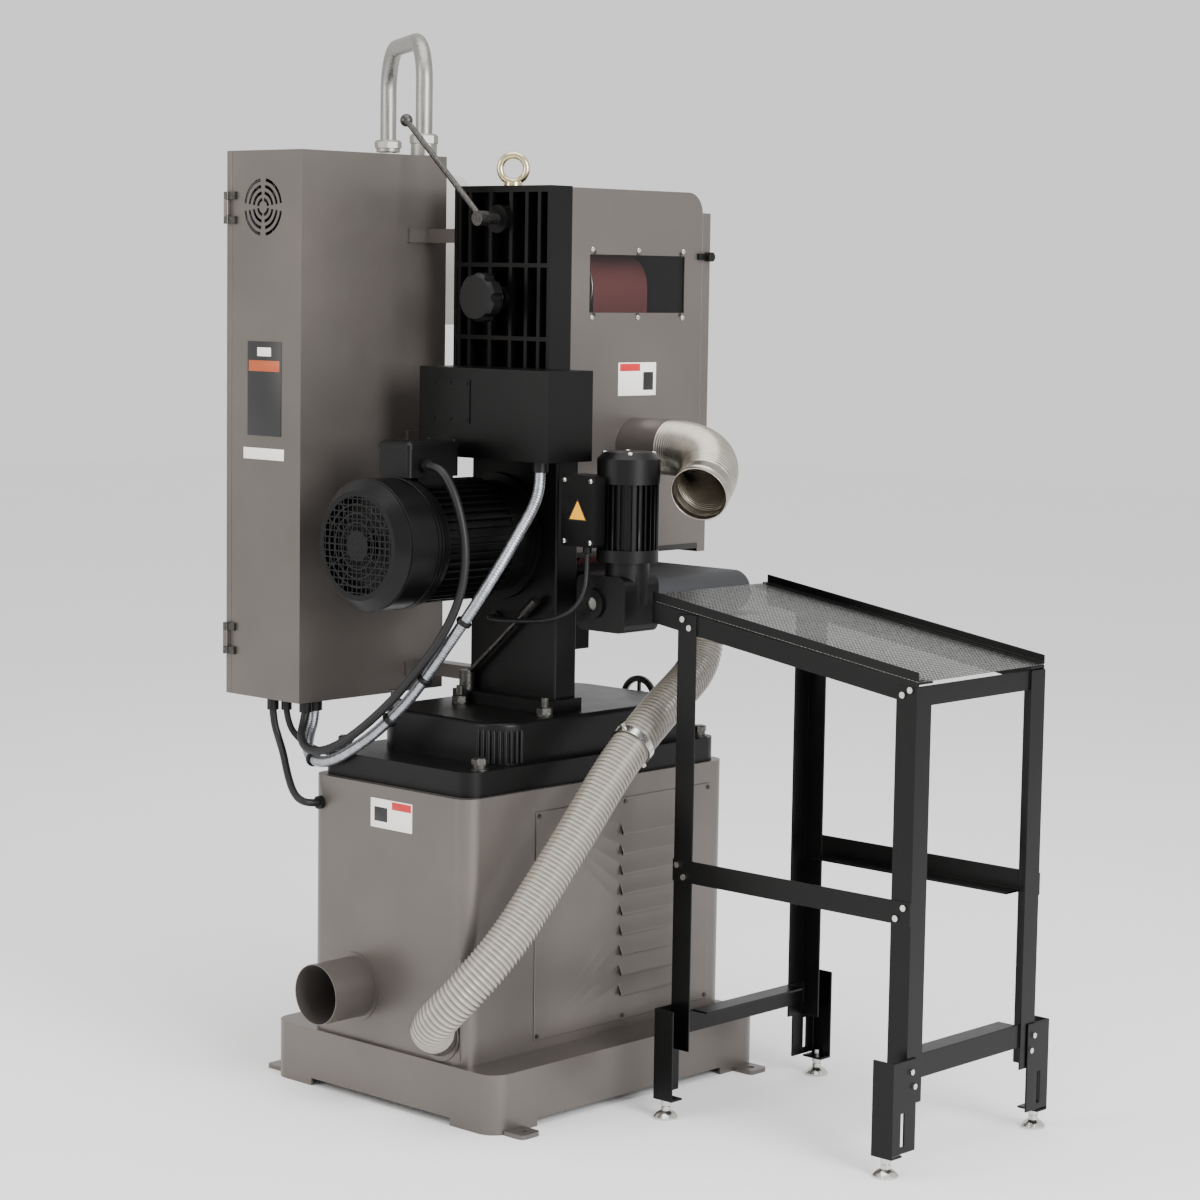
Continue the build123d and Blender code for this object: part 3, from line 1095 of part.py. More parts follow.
supply_points = [
    (338, -320, 689), (337, -318, 664), (334, -309, 637), (340, -288, 610), (355, -262, 585),
    (371, -233, 563), (383, -208, 549), (388, -186, 540), (378, -172, 535), (358, -171, 534)]
control_points = [
    (322, -300, 689), (320, -297, 663), (310, -285, 638), (292, -265, 618), (272, -236, 609), (262, -203,
                                                                                               607)]
cords = (("extraction_hose", hose_points, hose_radius), ("conduit", conduit_points, conduit_radius),
         ("motor_cable", motor_cable_points, motor_cable_radius),
         ("gearmotor_cable", gear_cable_points, gear_cable_radius),
         ("supply_cable", supply_points, supply_radius), ("control_cable", control_points, control_radius))
for label, points, radius in cords:
    with BuildPart() as tube:
        add(cord(points, radius))
    save(tube, label)

clamp_at = Vector(10, 291, 660)
hose_run = (-64, -4, 46)
with BuildPart() as hose_clamp:
    ring(tuple(clamp_at - Vector(*hose_run).normalized() * 7), hose_run, hose_radius + 3.5,
         hose_radius + 0.6, 14)
    for side_sign in (-1, 1):
        outward = Vector(0, 1, 0).cross(Vector(*hose_run)).normalized() * side_sign
        bar(tuple(clamp_at + outward * (hose_radius + 2)), tuple(outward), 5, 14)
save(hose_clamp, "hose_clamp")

gland_list = [
    ((115, 150, 1150), (0, 0, 1), 15, 20, 10.5), ((280, 20, 1160), (0, 1, 0), 12, 12, 8),
    ((stand_right, -171, 534), (1, 0, 0), 12, 8, 7), ((286, -263, 689), (0, 0, 1), 15, 20, 10.5),
    ((317, -252, 689), (0, 0, 1), 12, 20, 8), ((338, -320, 689), (0, 0, 1), 11, 20, 7),
    ((322, -300, 689), (0, 0, 1), 10, 20, 6), ((column_right, -22, 870), (1, 0, 0), 9, 10, 4.5),
    ((262, -203, 607), (0, 1, 0), 10, 12, 6)]
with BuildPart() as cable_glands:
    for at, direction, outer, length, inner in gland_list:
        bar(at, direction, outer, length)
save(cable_glands, "cable_glands")

# ---------------------------------------------------------------- nodes of several pieces
group("outfeed_frame", table_frame, tray_strips)
group("plinth", plinth, anchor_tabs)
group("stand_cabinet", stand_cabinet, dust_port, hose_spigot, dust_plenum)
group("access_hatch", access_hatch, hatch_knob)
group("column", column, bearing_cartridge, lift_ways, lift_nut)
group("motor_frame", motor_frame, motor_stator)
group("terminal_box", terminal_box, terminal_lid)
group("junction_box", junction_box, junction_lid)
group("belt_housing", belt_housing, duct_stub)
group("tension_lever", tension_lever, lever_ball)
group("tracking_knob", tracking_knob, tracking_screw, tracking_spring)
group("conveyor_bed", conveyor_bed, conveyor_saddle, dust_chute)
group("drive_roller", drive_roller, worm_wheel)
group("gearmotor", gearbox, gearmotor_frame, gearmotor_cover, gearmotor_box)
group("electrical_cabinet", cabinet_shell)
group("cabinet_devices", cabinet_backplate, cabinet_devices, fan_frame, terminal_rail)
group("fixings", panel_screws, window_screws, head_bolts, casting_bolts, hatch_hinges, door_hinges,
      cabinet_pins)
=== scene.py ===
"""Belt grinder: finishes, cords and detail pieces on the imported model. Metres, +Z up."""
import bpy
import math
from mathutils import Matrix, Vector


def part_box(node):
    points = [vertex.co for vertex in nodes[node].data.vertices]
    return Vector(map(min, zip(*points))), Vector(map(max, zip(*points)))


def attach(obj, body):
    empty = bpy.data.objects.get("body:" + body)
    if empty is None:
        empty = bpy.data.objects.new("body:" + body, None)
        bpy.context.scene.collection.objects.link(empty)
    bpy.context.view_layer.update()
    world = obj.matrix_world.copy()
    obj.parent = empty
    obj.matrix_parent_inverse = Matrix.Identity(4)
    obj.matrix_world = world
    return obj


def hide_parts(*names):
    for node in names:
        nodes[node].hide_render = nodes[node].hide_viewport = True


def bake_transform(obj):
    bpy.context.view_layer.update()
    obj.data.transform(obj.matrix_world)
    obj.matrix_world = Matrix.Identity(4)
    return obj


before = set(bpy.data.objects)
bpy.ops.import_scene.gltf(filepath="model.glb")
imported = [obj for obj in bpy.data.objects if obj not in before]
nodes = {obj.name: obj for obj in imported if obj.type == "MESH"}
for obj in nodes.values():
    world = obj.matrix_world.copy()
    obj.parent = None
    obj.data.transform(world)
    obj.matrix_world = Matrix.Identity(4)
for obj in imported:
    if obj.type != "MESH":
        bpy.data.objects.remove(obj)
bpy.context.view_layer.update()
bpy.ops.object.select_all(action="DESELECT")

# ------------------------------------------------------------------ camera
camera_data = bpy.data.cameras.new("studio_camera")
camera_data.lens = 89.84
camera_data.sensor_width = 36.0
camera_data.clip_end = 60.0
camera = bpy.data.objects.new("studio_camera", camera_data)
bpy.context.scene.collection.objects.link(camera)
right, up, back = (-0.68138, 0.73177, 0.01514), (-0.06814, -0.08402, 0.99413), (0.72874, 0.67635, 0.10711)
camera.matrix_world = Matrix([
    [right[0], up[0], back[0], 3.985],
    [right[1], up[1], back[1], 3.894],
    [right[2], up[2], back[2], 1.500],
    [0, 0, 0, 1]])
bpy.context.scene.camera = camera


# ------------------------------------------------------------------ finishes
def linear(code):
    """A hex colour as linear RGBA."""
    parts = [int(code[i:i + 2], 16) / 255 for i in (1, 3, 5)]
    return [p / 12.92 if p <= 0.04045 else ((p + 0.055) / 1.055) ** 2.4 for p in parts] + [1.0]


def add(tree, kind, settings=None, links=None):
    """One shader node with its settings and its incoming links."""
    item = tree.nodes.new(kind)
    for key, value in (settings or {}).items():
        if key in item.inputs.keys():
            item.inputs[key].default_value = value
        else:
            setattr(item, key, value)
    for key, socket in (links or {}).items():
        tree.links.new(socket, item.inputs[key])
    return item


def new_finish(name):
    material = bpy.data.materials.new(name)
    material.use_nodes = True
    tree = material.node_tree
    tree.nodes.clear()
    output = tree.nodes.new("ShaderNodeOutputMaterial")
    shader = tree.nodes.new("ShaderNodeBsdfPrincipled")
    tree.links.new(shader.outputs[0], output.inputs[0])
    return material, tree, shader


def ramp(tree, factor, low, high, low_at=0.3, high_at=0.7):
    item = add(tree, "ShaderNodeValToRGB", {}, {"Fac": factor})
    item.color_ramp.elements[0].position = low_at
    item.color_ramp.elements[0].color = linear(low)
    item.color_ramp.elements[1].position = high_at
    item.color_ramp.elements[1].color = linear(high)
    return item.outputs["Color"]


def coated(name, dark, light, rough, peel_mm, peel_depth_mm, metallic=0.0, drift_mm=260.0, shine=0.5):
    """Paint, cast or moulded skin: tone drifts slowly, gloss varies, and a fine relief breaks highlights."""
    material, tree, shader = new_finish(name)
    place = add(tree, "ShaderNodeTexCoord").outputs["Object"]
    drift = add(tree, "ShaderNodeTexNoise", {"Scale": 1000.0 / drift_mm, "Detail": 4.0}, {"Vector": place})
    tree.links.new(ramp(tree, drift.outputs["Fac"], dark, light), shader.inputs["Base Color"])
    smear = add(tree, "ShaderNodeTexNoise", {"Scale": 1000.0 / 45.0, "Detail": 5.0, "Roughness": 0.7},
                {"Vector": place})
    gloss = add(tree, "ShaderNodeMapRange", {"To Min": rough - 0.06, "To Max": rough + 0.08},
                {"Value": smear.outputs["Fac"]})
    tree.links.new(gloss.outputs["Result"], shader.inputs["Roughness"])
    relief = add(tree, "ShaderNodeTexNoise", {"Scale": 1000.0 / peel_mm, "Detail": 2.0}, {"Vector": place})
    bump = add(tree, "ShaderNodeBump", {"Strength": 0.35, "Distance": peel_depth_mm / 1000.0},
               {"Height": relief.outputs["Fac"]})
    tree.links.new(bump.outputs["Normal"], shader.inputs["Normal"])
    shader.inputs["Metallic"].default_value = metallic
    shader.inputs["Specular IOR Level"].default_value = shine
    return material


def bright_metal(name, dark, light, rough, grain_mm, along, scratch=0.15):
    """Bare or plated metal: the grain is stretched along one direction and changes the gloss."""
    material, tree, shader = new_finish(name)
    place = add(tree, "ShaderNodeTexCoord").outputs["Object"]
    stretch = add(tree, "ShaderNodeMapping", {"Scale": along}, {"Vector": place})
    grain = add(tree, "ShaderNodeTexNoise", {"Scale": 1000.0 / grain_mm, "Detail": 3.0},
                {"Vector": stretch.outputs[0]})
    tree.links.new(ramp(tree, grain.outputs["Fac"], dark, light), shader.inputs["Base Color"])
    gloss = add(tree, "ShaderNodeMapRange", {"To Min": rough * 0.8, "To Max": rough * 1.3},
                {"Value": grain.outputs["Fac"]})
    tree.links.new(gloss.outputs["Result"], shader.inputs["Roughness"])
    bump = add(tree, "ShaderNodeBump", {"Strength": scratch, "Distance": 0.0002}, {"Height": grain.outputs["Fac"]})
    tree.links.new(bump.outputs["Normal"], shader.inputs["Normal"])
    shader.inputs["Metallic"].default_value = 1.0
    return material


# baked metallic enamel on pressed sheet: warm grey with a faint sparkle and orange peel
warm_enamel = coated("warm_grey_baked_enamel", "#5d5854", "#67615c", 0.34, 5.0, 0.10, metallic=0.55)
# gloss black enamel over cast iron, a little lumpy from the sand mould
black_casting = coated("black_enamelled_cast_iron", "#030303", "#080808", 0.36, 7.0, 0.30, shine=0.2)
# black powder coat on angle iron and boxes
black_powder = coated("black_powder_coat", "#030303", "#070707", 0.32, 3.0, 0.10, shine=0.2)
# light grey powder coat of the operator's console
pale_powder = coated("pale_grey_powder_coat", "#b4b3ad", "#bdbcb6", 0.42, 3.0, 0.10)
# black moulded nylon of glands, knobs and fans
black_nylon = coated("black_moulded_nylon", "#060606", "#0d0d0e", 0.42, 2.5, 0.08, shine=0.25)
cable_pvc = coated("black_cable_pvc", "#0d0d0e", "#161618", 0.45, 3.0, 0.05, drift_mm=60.0, shine=0.3)
contact_rubber = coated("ground_black_rubber", "#161615", "#24231f", 0.75, 2.0, 0.15)
feed_rubber = coated("woven_backed_feed_belt", "#191b1d", "#26282b", 0.6, 3.5, 0.25)
casting_top = coated("worn_black_table_top", "#171412", "#2a2420", 0.4, 9.0, 0.3)
green_cap = coated("green_acetal_cap", "#166d33", "#1b7a3a", 0.3, 4.0, 0.03)
red_cap = coated("red_acetal_cap", "#a3191b", "#b52022", 0.3, 4.0, 0.03)
switchgear = coated("grey_switchgear_plastic", "#8e908e", "#a6a8a5", 0.5, 4.0, 0.05)
label_film = coated("white_label_film", "#e9e7e1", "#f3f1ec", 0.4, 6.0, 0.02)
red_film = coated("red_label_film", "#b80d14", "#c2141a", 0.4, 6.0, 0.02)
orange_film = coated("orange_label_film", "#9c4416", "#a84c1b", 0.4, 6.0, 0.02)
ink_film = coated("black_label_film", "#050506", "#0c0c0d", 0.4, 6.0, 0.02)
yellow_film = coated("yellow_label_film", "#eda400", "#f2ac00", 0.4, 6.0, 0.02)
# zinc and chrome plate on fasteners and rods; drawn steel of pipe; lathe-turned aluminium
zinc_plate = bright_metal("bright_zinc_plate", "#b9b8b2", "#d6d5d0", 0.22, 3.0, (1, 1, 1))
drawn_steel = bright_metal("drawn_stainless_pipe", "#82807b", "#9b9994", 0.4, 3.0, (1, 1, 0.05))
turned_steel = bright_metal("turned_steel", "#8d8b86", "#a9a7a1", 0.32, 2.0, (0.05, 1, 1))
turned_aluminium = bright_metal("turned_aluminium", "#aaaaa6", "#c4c4c0", 0.3, 2.0, (0.05, 1, 1))
# oil-blackened steel of studs, nuts and levers: dull grey where hands and spanners rub it
dark_steel = bright_metal("oil_blackened_steel", "#3b3a38", "#5b5956", 0.4, 4.0, (1, 1, 1))
# yellow-passivated zinc of the lifting eye
gold_zinc = bright_metal("yellow_passivated_zinc", "#b7aa84", "#d3c9a4", 0.2, 5.0, (1, 1, 1))
galvanised = bright_metal("galvanised_duct_sheet", "#a29c91", "#b3ada2", 0.3, 22.0, (1, 1, 1), 0.03)
perforated = bright_metal("perforated_steel_sheet", "#6d6d6b", "#8f8f8d", 0.32, 6.0, (1, 1, 1))
conduit_steel = bright_metal("grey_jacketed_conduit", "#8b8e93", "#a5a8ad", 0.38, 8.0, (1, 1, 1))


def grit_finish():
    """Ceramic grit in resin on cloth: red-brown, speckled at grain size, very rough."""
    material, tree, shader = new_finish("red_brown_abrasive_cloth")
    place = add(tree, "ShaderNodeTexCoord").outputs["Object"]
    grains = add(tree, "ShaderNodeTexVoronoi", {"Scale": 1000.0 / 0.8}, {"Vector": place})
    tree.links.new(ramp(tree, grains.outputs["Distance"], "#6b2f2d", "#572423", 0.1, 0.7),
                   shader.inputs["Base Color"])
    bump = add(tree, "ShaderNodeBump", {"Strength": 0.4, "Distance": 0.0003}, {"Height": grains.outputs["Distance"]})
    tree.links.new(bump.outputs["Normal"], shader.inputs["Normal"])
    shader.inputs["Roughness"].default_value = 0.85
    return material


def pane_finish():
    """Lightly smoked polycarbonate with a few rub marks."""
    material, tree, shader = new_finish("clear_polycarbonate")
    place = add(tree, "ShaderNodeTexCoord").outputs["Object"]
    rubs = add(tree, "ShaderNodeTexNoise", {"Scale": 30.0, "Detail": 6.0}, {"Vector": place})
    gloss = add(tree, "ShaderNodeMapRange", {"To Min": 0.02, "To Max": 0.12}, {"Value": rubs.outputs["Fac"]})
    tree.links.new(gloss.outputs["Result"], shader.inputs["Roughness"])
    shader.inputs["Base Color"].default_value = linear("#2a2b2b")
    shader.inputs["Alpha"].default_value = 0.16
    shader.inputs["IOR"].default_value = 1.58
    return material


def hose_finish():
    """Clear PVC over a coiled wire: grey-beige film, with painted shade along each turn of the wire and a painted
    highlight on one flank of each turn.
    """
    material, tree, shader = new_finish("wire_wound_clear_pvc")
    skin_uv = add(tree, "ShaderNodeUVMap", {"uv_map": "wall"}).outputs["UV"]
    apart = add(tree, "ShaderNodeSeparateXYZ", {}, {"Vector": skin_uv})
    phase = add(tree, "ShaderNodeMath", {"operation": "FRACT"}, {"Value": apart.outputs["Y"]})
    # painted shade and painted highlight: dark at each wire turn, light just past it, mid-tone on the far flank
    tone = add(tree, "ShaderNodeValToRGB", {}, {"Fac": phase.outputs[0]})
    tone.color_ramp.elements[0].position = 0.0
    tone.color_ramp.elements[0].color = linear("#322e2a")
    tone.color_ramp.elements[1].position = 0.34
    tone.color_ramp.elements[1].color = linear("#a19b8f")
    last = tone.color_ramp.elements.new(1.0)
    last.color = linear("#5b564e")
    tree.links.new(tone.outputs["Color"], shader.inputs["Base Color"])
    place = add(tree, "ShaderNodeTexCoord").outputs["Object"]
    film = add(tree, "ShaderNodeTexNoise", {"Scale": 60.0, "Detail": 3.0}, {"Vector": place})
    gloss = add(tree, "ShaderNodeMapRange", {"To Min": 0.22, "To Max": 0.42}, {"Value": film.outputs["Fac"]})
    tree.links.new(gloss.outputs["Result"], shader.inputs["Roughness"])
    shader.inputs["Coat Weight"].default_value = 0.4
    return material


abrasive_cloth = grit_finish()
clear_pane = pane_finish()
wire_hose = hose_finish()

finish_of = {
    "abrasive_belt": abrasive_cloth, "access_hatch": warm_enamel, "base_casting": black_casting,
    "belt_housing": warm_enamel, "cabinet_devices": switchgear, "cabinet_door": warm_enamel,
    "cable_glands": black_nylon, "column": black_casting, "column_clamp_lever": dark_steel,
    "conduit": conduit_steel, "console_box": pale_powder, "contact_wheel": turned_aluminium,
    "control_cable": cable_pvc, "conveyor_bed": black_powder, "door_latch": black_nylon,
    "door_lock": black_nylon, "drive_roller": turned_steel, "duct_elbow": galvanised,
    "electrical_cabinet": warm_enamel, "emergency_stop": red_cap, "extraction_hose": wire_hose,
    "eye_bolt": gold_zinc, "fan_cover": black_powder, "feed_belt": feed_rubber, "fixings": dark_steel,
    "gearmotor": black_casting, "gearmotor_cable": cable_pvc, "gearmotor_rotor": turned_steel,
    "head_plate": black_casting, "hose_clamp": zinc_plate, "housing_door": warm_enamel,
    "idle_roller": turned_steel, "idler_slide": turned_steel, "idler_wheel": turned_aluminium,
    "junction_box": black_powder, "leg_extensions": black_powder, "lift_handwheel": dark_steel,
    "louvre_panel": warm_enamel, "main_switch": red_cap, "motor_cable": cable_pvc,
    "motor_fan": black_nylon, "motor_frame": black_casting, "motor_shaft": turned_steel,
    "outfeed_frame": black_powder, "plinth": warm_enamel, "speed_knob": black_nylon,
    "spindle_bearings": turned_steel, "stand_cabinet": warm_enamel, "start_button": green_cap,
    "stop_button": red_cap, "supply_cable": cable_pvc, "support_pipe": drawn_steel,
    "table_fixings": zinc_plate, "tension_lever": dark_steel, "terminal_box": black_casting,
    "tracking_knob": black_nylon, "tray_mesh": perforated, "vent_fan": black_nylon,
    "wheel_tyre": contact_rubber, "window_pane": clear_pane}


def dress(piece, finish):
    piece.data.materials.clear()
    piece.data.materials.append(finish)


def soften(piece, width):
    """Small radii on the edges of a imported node, with flat faces kept flat."""
    piece.data.polygons.foreach_set("use_smooth", [True] * len(piece.data.polygons))
    weld = piece.modifiers.new("weld", "WELD")
    weld.merge_threshold = 0.00001
    edge = piece.modifiers.new("edge", "BEVEL")
    edge.width = width
    edge.segments = 2
    edge.limit_method = "ANGLE"
    edge.angle_limit = math.radians(38)
    flat = piece.modifiers.new("flat", "WEIGHTED_NORMAL")
    flat.keep_sharp = True


for label, finish in finish_of.items():
    dress(nodes[label], finish)
    soften(nodes[label], 0.0012)


# ------------------------------------------------------------------ cords
def route(name, points):
    """A smooth open line whose control points are given in millimetres."""
    data = bpy.data.curves.new(name, "CURVE")
    data.dimensions = "3D"
    data.resolution_u = 24
    line = data.splines.new("NURBS")
    line.points.add(len(points) - 1)
    for spot, where in zip(line.points, points):
        spot.co = (where[0] / 1000, where[1] / 1000, where[2] / 1000, 1)
    line.order_u = 3
    line.use_endpoint_u = True
    piece = bpy.data.objects.new(name, data)
    bpy.context.scene.collection.objects.link(piece)
    return piece


def read_line(piece):
    """Evenly read points along a route, taken from the curve itself, and its length."""
    bpy.context.view_layer.update()
    mesh = bpy.data.meshes.new_from_object(piece)
    points = [v.co.copy() for v in mesh.vertices]
    bpy.data.meshes.remove(mesh)
    reach = [0.0]
    for a, b in zip(points, points[1:]):
        reach.append(reach[-1] + (b - a).length)
    return points, reach


def at_distance(points, reach, distance):
    for i in range(1, len(points)):
        if reach[i] >= distance:
            share = (distance - reach[i - 1]) / max(reach[i] - reach[i - 1], 1e-9)
            return points[i - 1].lerp(points[i], share)
    return points[-1].copy()


def wall_mesh(name, spots, radii, sides, turns):
    """A closed tube wall through spots, one radius for each; its UV map counts turns along the length."""
    frames = []
    across = None
    for i, spot in enumerate(spots):
        ahead = (spots[min(i + 1, len(spots) - 1)] - spots[max(i - 1, 0)]).normalized()
        if across is None:
            across = ahead.orthogonal().normalized()
        across = (across - ahead * across.dot(ahead)).normalized()
        frames.append((spot, across.copy(), ahead.cross(across)))
    verts = []
    for (spot, side, over), radius in zip(frames, radii):
        for k in range(sides):
            angle = 2 * math.pi * k / sides
            verts.append(spot + (side * math.cos(angle) + over * math.sin(angle)) * radius)
    faces = []
    for i in range(len(spots) - 1):
        for k in range(sides):
            n = (k + 1) % sides
            faces.append((i * sides + k, i * sides + n, (i + 1) * sides + n, (i + 1) * sides + k))
    faces.append(tuple(reversed(range(sides))))
    faces.append(tuple((len(spots) - 1) * sides + k for k in range(sides)))
    mesh = bpy.data.meshes.new(name)
    mesh.from_pydata([tuple(v) for v in verts], [], faces)
    uv = mesh.uv_layers.new(name="wall")
    for face in mesh.polygons:
        for corner, index in zip(face.loop_indices, face.vertices):
            ring_index, k = divmod(index, sides)
            across_u = k / sides
            if face.index < (len(spots) - 1) * sides and face.index % sides == sides - 1 and k == 0:
                across_u = 1.0
            uv.data[corner].uv = (across_u, turns[ring_index] + across_u)
    mesh.polygons.foreach_set("use_smooth", [True] * len(mesh.polygons))
    piece = bpy.data.objects.new(name, mesh)
    bpy.context.scene.collection.objects.link(piece)
    return piece


def ribbed(name, line, radius, rib_mm, depth_mm, step_mm, sides):
    """A ribbed wall along a route, and the points that it follows."""
    points, reach = read_line(line)
    total = reach[-1]
    count = int(total * 1000 / step_mm)
    spots = [at_distance(points, reach, total * i / count) for i in range(count + 1)]
    radii = []
    turns = []
    for i in range(count + 1):
        along = 1000 * total * i / count / rib_mm
        turns.append(along)
        radii.append(radius - depth_mm / 1000 * (0.5 + 0.5 * math.cos(2 * math.pi * along)))
    piece = wall_mesh(name, spots, radii, sides, turns)
    bpy.data.objects.remove(line)
    return piece, spots, total


def bands(name, spots, places, radius, body):
    """Nylon ties round a cord at the given shares of its length."""
    made = []
    for n, share in enumerate(places):
        i = int(share * (len(spots) - 2))
        ahead = (spots[i + 1] - spots[i]).normalized()
        bpy.ops.object.select_all(action="DESELECT")
        turn = ahead.to_track_quat("Z", "Y").to_matrix().to_4x4()
        bpy.ops.mesh.primitive_torus_add(major_radius=radius, minor_radius=0.0022, major_segments=28,
                                         minor_segments=8)
        tie = bpy.context.object
        tie.data.transform(Matrix.Translation(spots[i]) @ turn @ Matrix.Diagonal((1, 1, 2.2, 1)))
        made.append(tie)
    join(name, made, black_nylon, body)


def join(name, made, finish, body):
    """Several shaped meshes as one piece."""
    bpy.ops.object.select_all(action="DESELECT")
    for item in made:
        item.select_set(True)
    bpy.context.view_layer.objects.active = made[0]
    if len(made) > 1:
        bpy.ops.object.join()
    piece = bpy.context.object
    piece.name = name
    dress(piece, finish)
    bpy.ops.object.shade_smooth_by_angle(angle=math.radians(35))
    bpy.ops.object.select_all(action="DESELECT")
    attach(piece, body)
    return piece


hose_points = [
    (373, 159, 166), (399, 172, 176), (412, 198, 199), (409, 227, 228), (389, 254, 264), (355, 275, 306),
    (312, 287, 352), (262, 293, 408), (209, 297, 467), (155, 299, 526), (100, 297, 584), (42, 293, 637),
    (-22, 289, 683), (-88, 281, 722), (-150, 270, 751), (-190, 261, 771), (-217, 254, 796), (-231, 250, 829),
    (-231, 250, 864)]
conduit_points = [
    (115, 150, 1150), (116, 151, 1127), (126, 153, 1101), (148, 157, 1074), (178, 160, 1043),
    (208, 160, 1006), (234, 151, 966), (254, 136, 926), (268, 114, 885), (278, 88, 846), (285, 60, 807),
    (290, 32, 771), (297, 4, 736), (309, -27, 702), (326, -58, 669), (344, -92, 641), (350, -130, 619),
    (351, -168, 608), (344, -205, 610), (328, -235, 625), (305, -255, 646), (289, -262, 667), (286, -263, 689)]
motor_cable_points = [
    (280, 32, 1160), (280, 53, 1159), (280, 74, 1148), (278, 96, 1117), (275, 112, 1073), (273, 121, 1025),
    (274, 122, 977), (279, 115, 931), (288, 100, 887), (298, 79, 846), (306, 54, 812), (312, 26, 780),
    (320, -1, 748), (332, -31, 716), (348, -62, 684), (363, -96, 656), (370, -134, 637), (370, -172, 630),
    (361, -207, 635), (343, -236, 650), (324, -250, 668), (317, -252, 689)]
gear_cable_points = [
    (75, 232, 1008), (75, 232, 976), (83, 235, 938), (94, 220, 906), (103, 190, 889), (106, 152, 880),
    (107, 110, 876), (104, 68, 873), (100, 34, 872), (91, 4, 871), (76, -16, 870), (55, -22, 870)]
supply_points = [
    (338, -320, 689), (337, -318, 664), (334, -309, 637), (340, -288, 610), (355, -262, 585),
    (371, -233, 563), (383, -208, 549), (388, -186, 540), (378, -172, 535), (358, -171, 534)]
control_points = [
    (322, -300, 689), (320, -297, 663), (310, -285, 638), (292, -265, 618), (272, -236, 609), (262, -203, 607)]

hose, hose_line, hose_length = ribbed("hose_wall", route("hose_route", hose_points), 0.0375, 8.5, 2.6, 1.7, 40)
dress(hose, wire_hose)
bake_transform(hose)
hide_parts("extraction_hose")

conduit, conduit_line, conduit_length = ribbed(
    "conduit_jacket", route("conduit_route", conduit_points), 0.0105, 5.5, 0.7, 1.4, 20)
dress(conduit, conduit_steel)
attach(conduit, "base_frame")
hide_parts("conduit")

gear_cable, gear_line, gear_length = ribbed(
    "gearmotor_cable_jacket", route("gear_cable_route", gear_cable_points), 0.0045, 4.0, 0.05, 4.0, 16)
dress(gear_cable, cable_pvc)
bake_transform(gear_cable)
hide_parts("gearmotor_cable")

for cable_name, node_name, points, radius in (
        ("motor_cable_jacket", "motor_cable", motor_cable_points, 0.008),
        ("supply_cable_jacket", "supply_cable", supply_points, 0.007),
        ("control_cable_jacket", "control_cable", control_points, 0.006)):
    cable = route(cable_name, points)
    reach = read_line(cable)[1]
    cable.data.bevel_depth = radius
    cable.data.bevel_resolution = 6
    cable.data.use_fill_caps = True
    dress(cable, cable_pvc)
    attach(cable, "base_frame")
    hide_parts(node_name)

bands("conduit_ties", conduit_line, (0.36, 0.51, 0.63, 0.86), 0.0125, "base_frame")


# ------------------------------------------------------------------ small shaped pieces
def slab(name, low, high, edge, finish, body):
    """A plate with eased edges between two corners, in millimetres."""
    bpy.ops.object.select_all(action="DESELECT")
    middle = [(a + b) / 2000 for a, b in zip(low, high)]
    bpy.ops.mesh.primitive_cube_add(size=1, location=middle)
    piece = bpy.context.object
    piece.scale = [abs(b - a) / 1000 for a, b in zip(low, high)]
    bpy.ops.object.transform_apply(location=True, rotation=True, scale=True)
    bpy.ops.object.mode_set(mode="EDIT")
    bpy.ops.mesh.select_all(action="SELECT")
    bpy.ops.mesh.bevel(offset=edge / 1000, segments=2)
    bpy.ops.object.mode_set(mode="OBJECT")
    if body:
        return join(name, [piece], finish, body)
    return piece


def lathe(centre, direction, outline, sides=32):
    """A turned piece: outline gives (height, radius) in millimetres from a start point."""
    bpy.ops.object.select_all(action="DESELECT")
    turn = Vector(direction).to_track_quat("Z", "Y").to_matrix().to_4x4()
    bpy.ops.mesh.primitive_circle_add(vertices=sides, radius=outline[0][1] / 1000, fill_type="NGON",
                                      location=(0, 0, outline[0][0] / 1000))
    piece = bpy.context.object
    bpy.ops.object.transform_apply(location=True, rotation=True, scale=True)
    bpy.ops.object.mode_set(mode="EDIT")
    bpy.ops.mesh.select_all(action="SELECT")
    for (low, narrow), (high, wide) in zip(outline, outline[1:]):
        bpy.ops.mesh.extrude_region_move(TRANSFORM_OT_translate={"value": (0, 0, (high - low) / 1000)})
        size = max(wide, 0.05) / max(narrow, 0.05)
        bpy.ops.transform.resize(value=(size, size, 1), center_override=(0, 0, high / 1000))
    bpy.ops.mesh.select_all(action="SELECT")
    bpy.ops.mesh.normals_make_consistent(inside=False)
    bpy.ops.object.mode_set(mode="OBJECT")
    piece.data.transform(Matrix.Translation(Vector(centre) / 1000) @ turn)
    return piece


hex_head = [(0, 7.5), (0, 9.0), (6.5, 9.0), (7.5, 8.0), (7.5, 4.0), (5.5, 3.6), (5.5, 0.1)]
casting_low, casting_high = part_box("base_casting")
heads = []
for x, y in ((290, 180), (-300, 180), (290, -170), (-300, -170)):
    heads.append(lathe((x, y, 641), (0, 0, 1), [(0, 12), (0, 15), (9, 15), (11, 12.5), (11, 5), (11, 0.1)], 6))
for x, y in ((95, -70), (225, -110), (95, 150)):
    heads.append(lathe((x, y, 708), (0, 0, 1), [(0, 13), (0, 15), (11, 15), (13, 12), (13, 7), (13, 0.1)], 6))
join("hold_down_nuts", heads, dark_steel, "base_frame")

flutes = []
for step in range(9):
    angle = math.radians(5 + 10 * step)
    centre = (180 + 60 * math.cos(angle), 120 + 60 * math.sin(angle), 632)
    flutes.append(lathe(centre, (0, 0, 1), [(0, 0.1), (0, 4.5), (54, 4.5), (60, 2.5), (60, 0.1)], 12))
join("corner_flutes", flutes, black_casting, "base_frame")

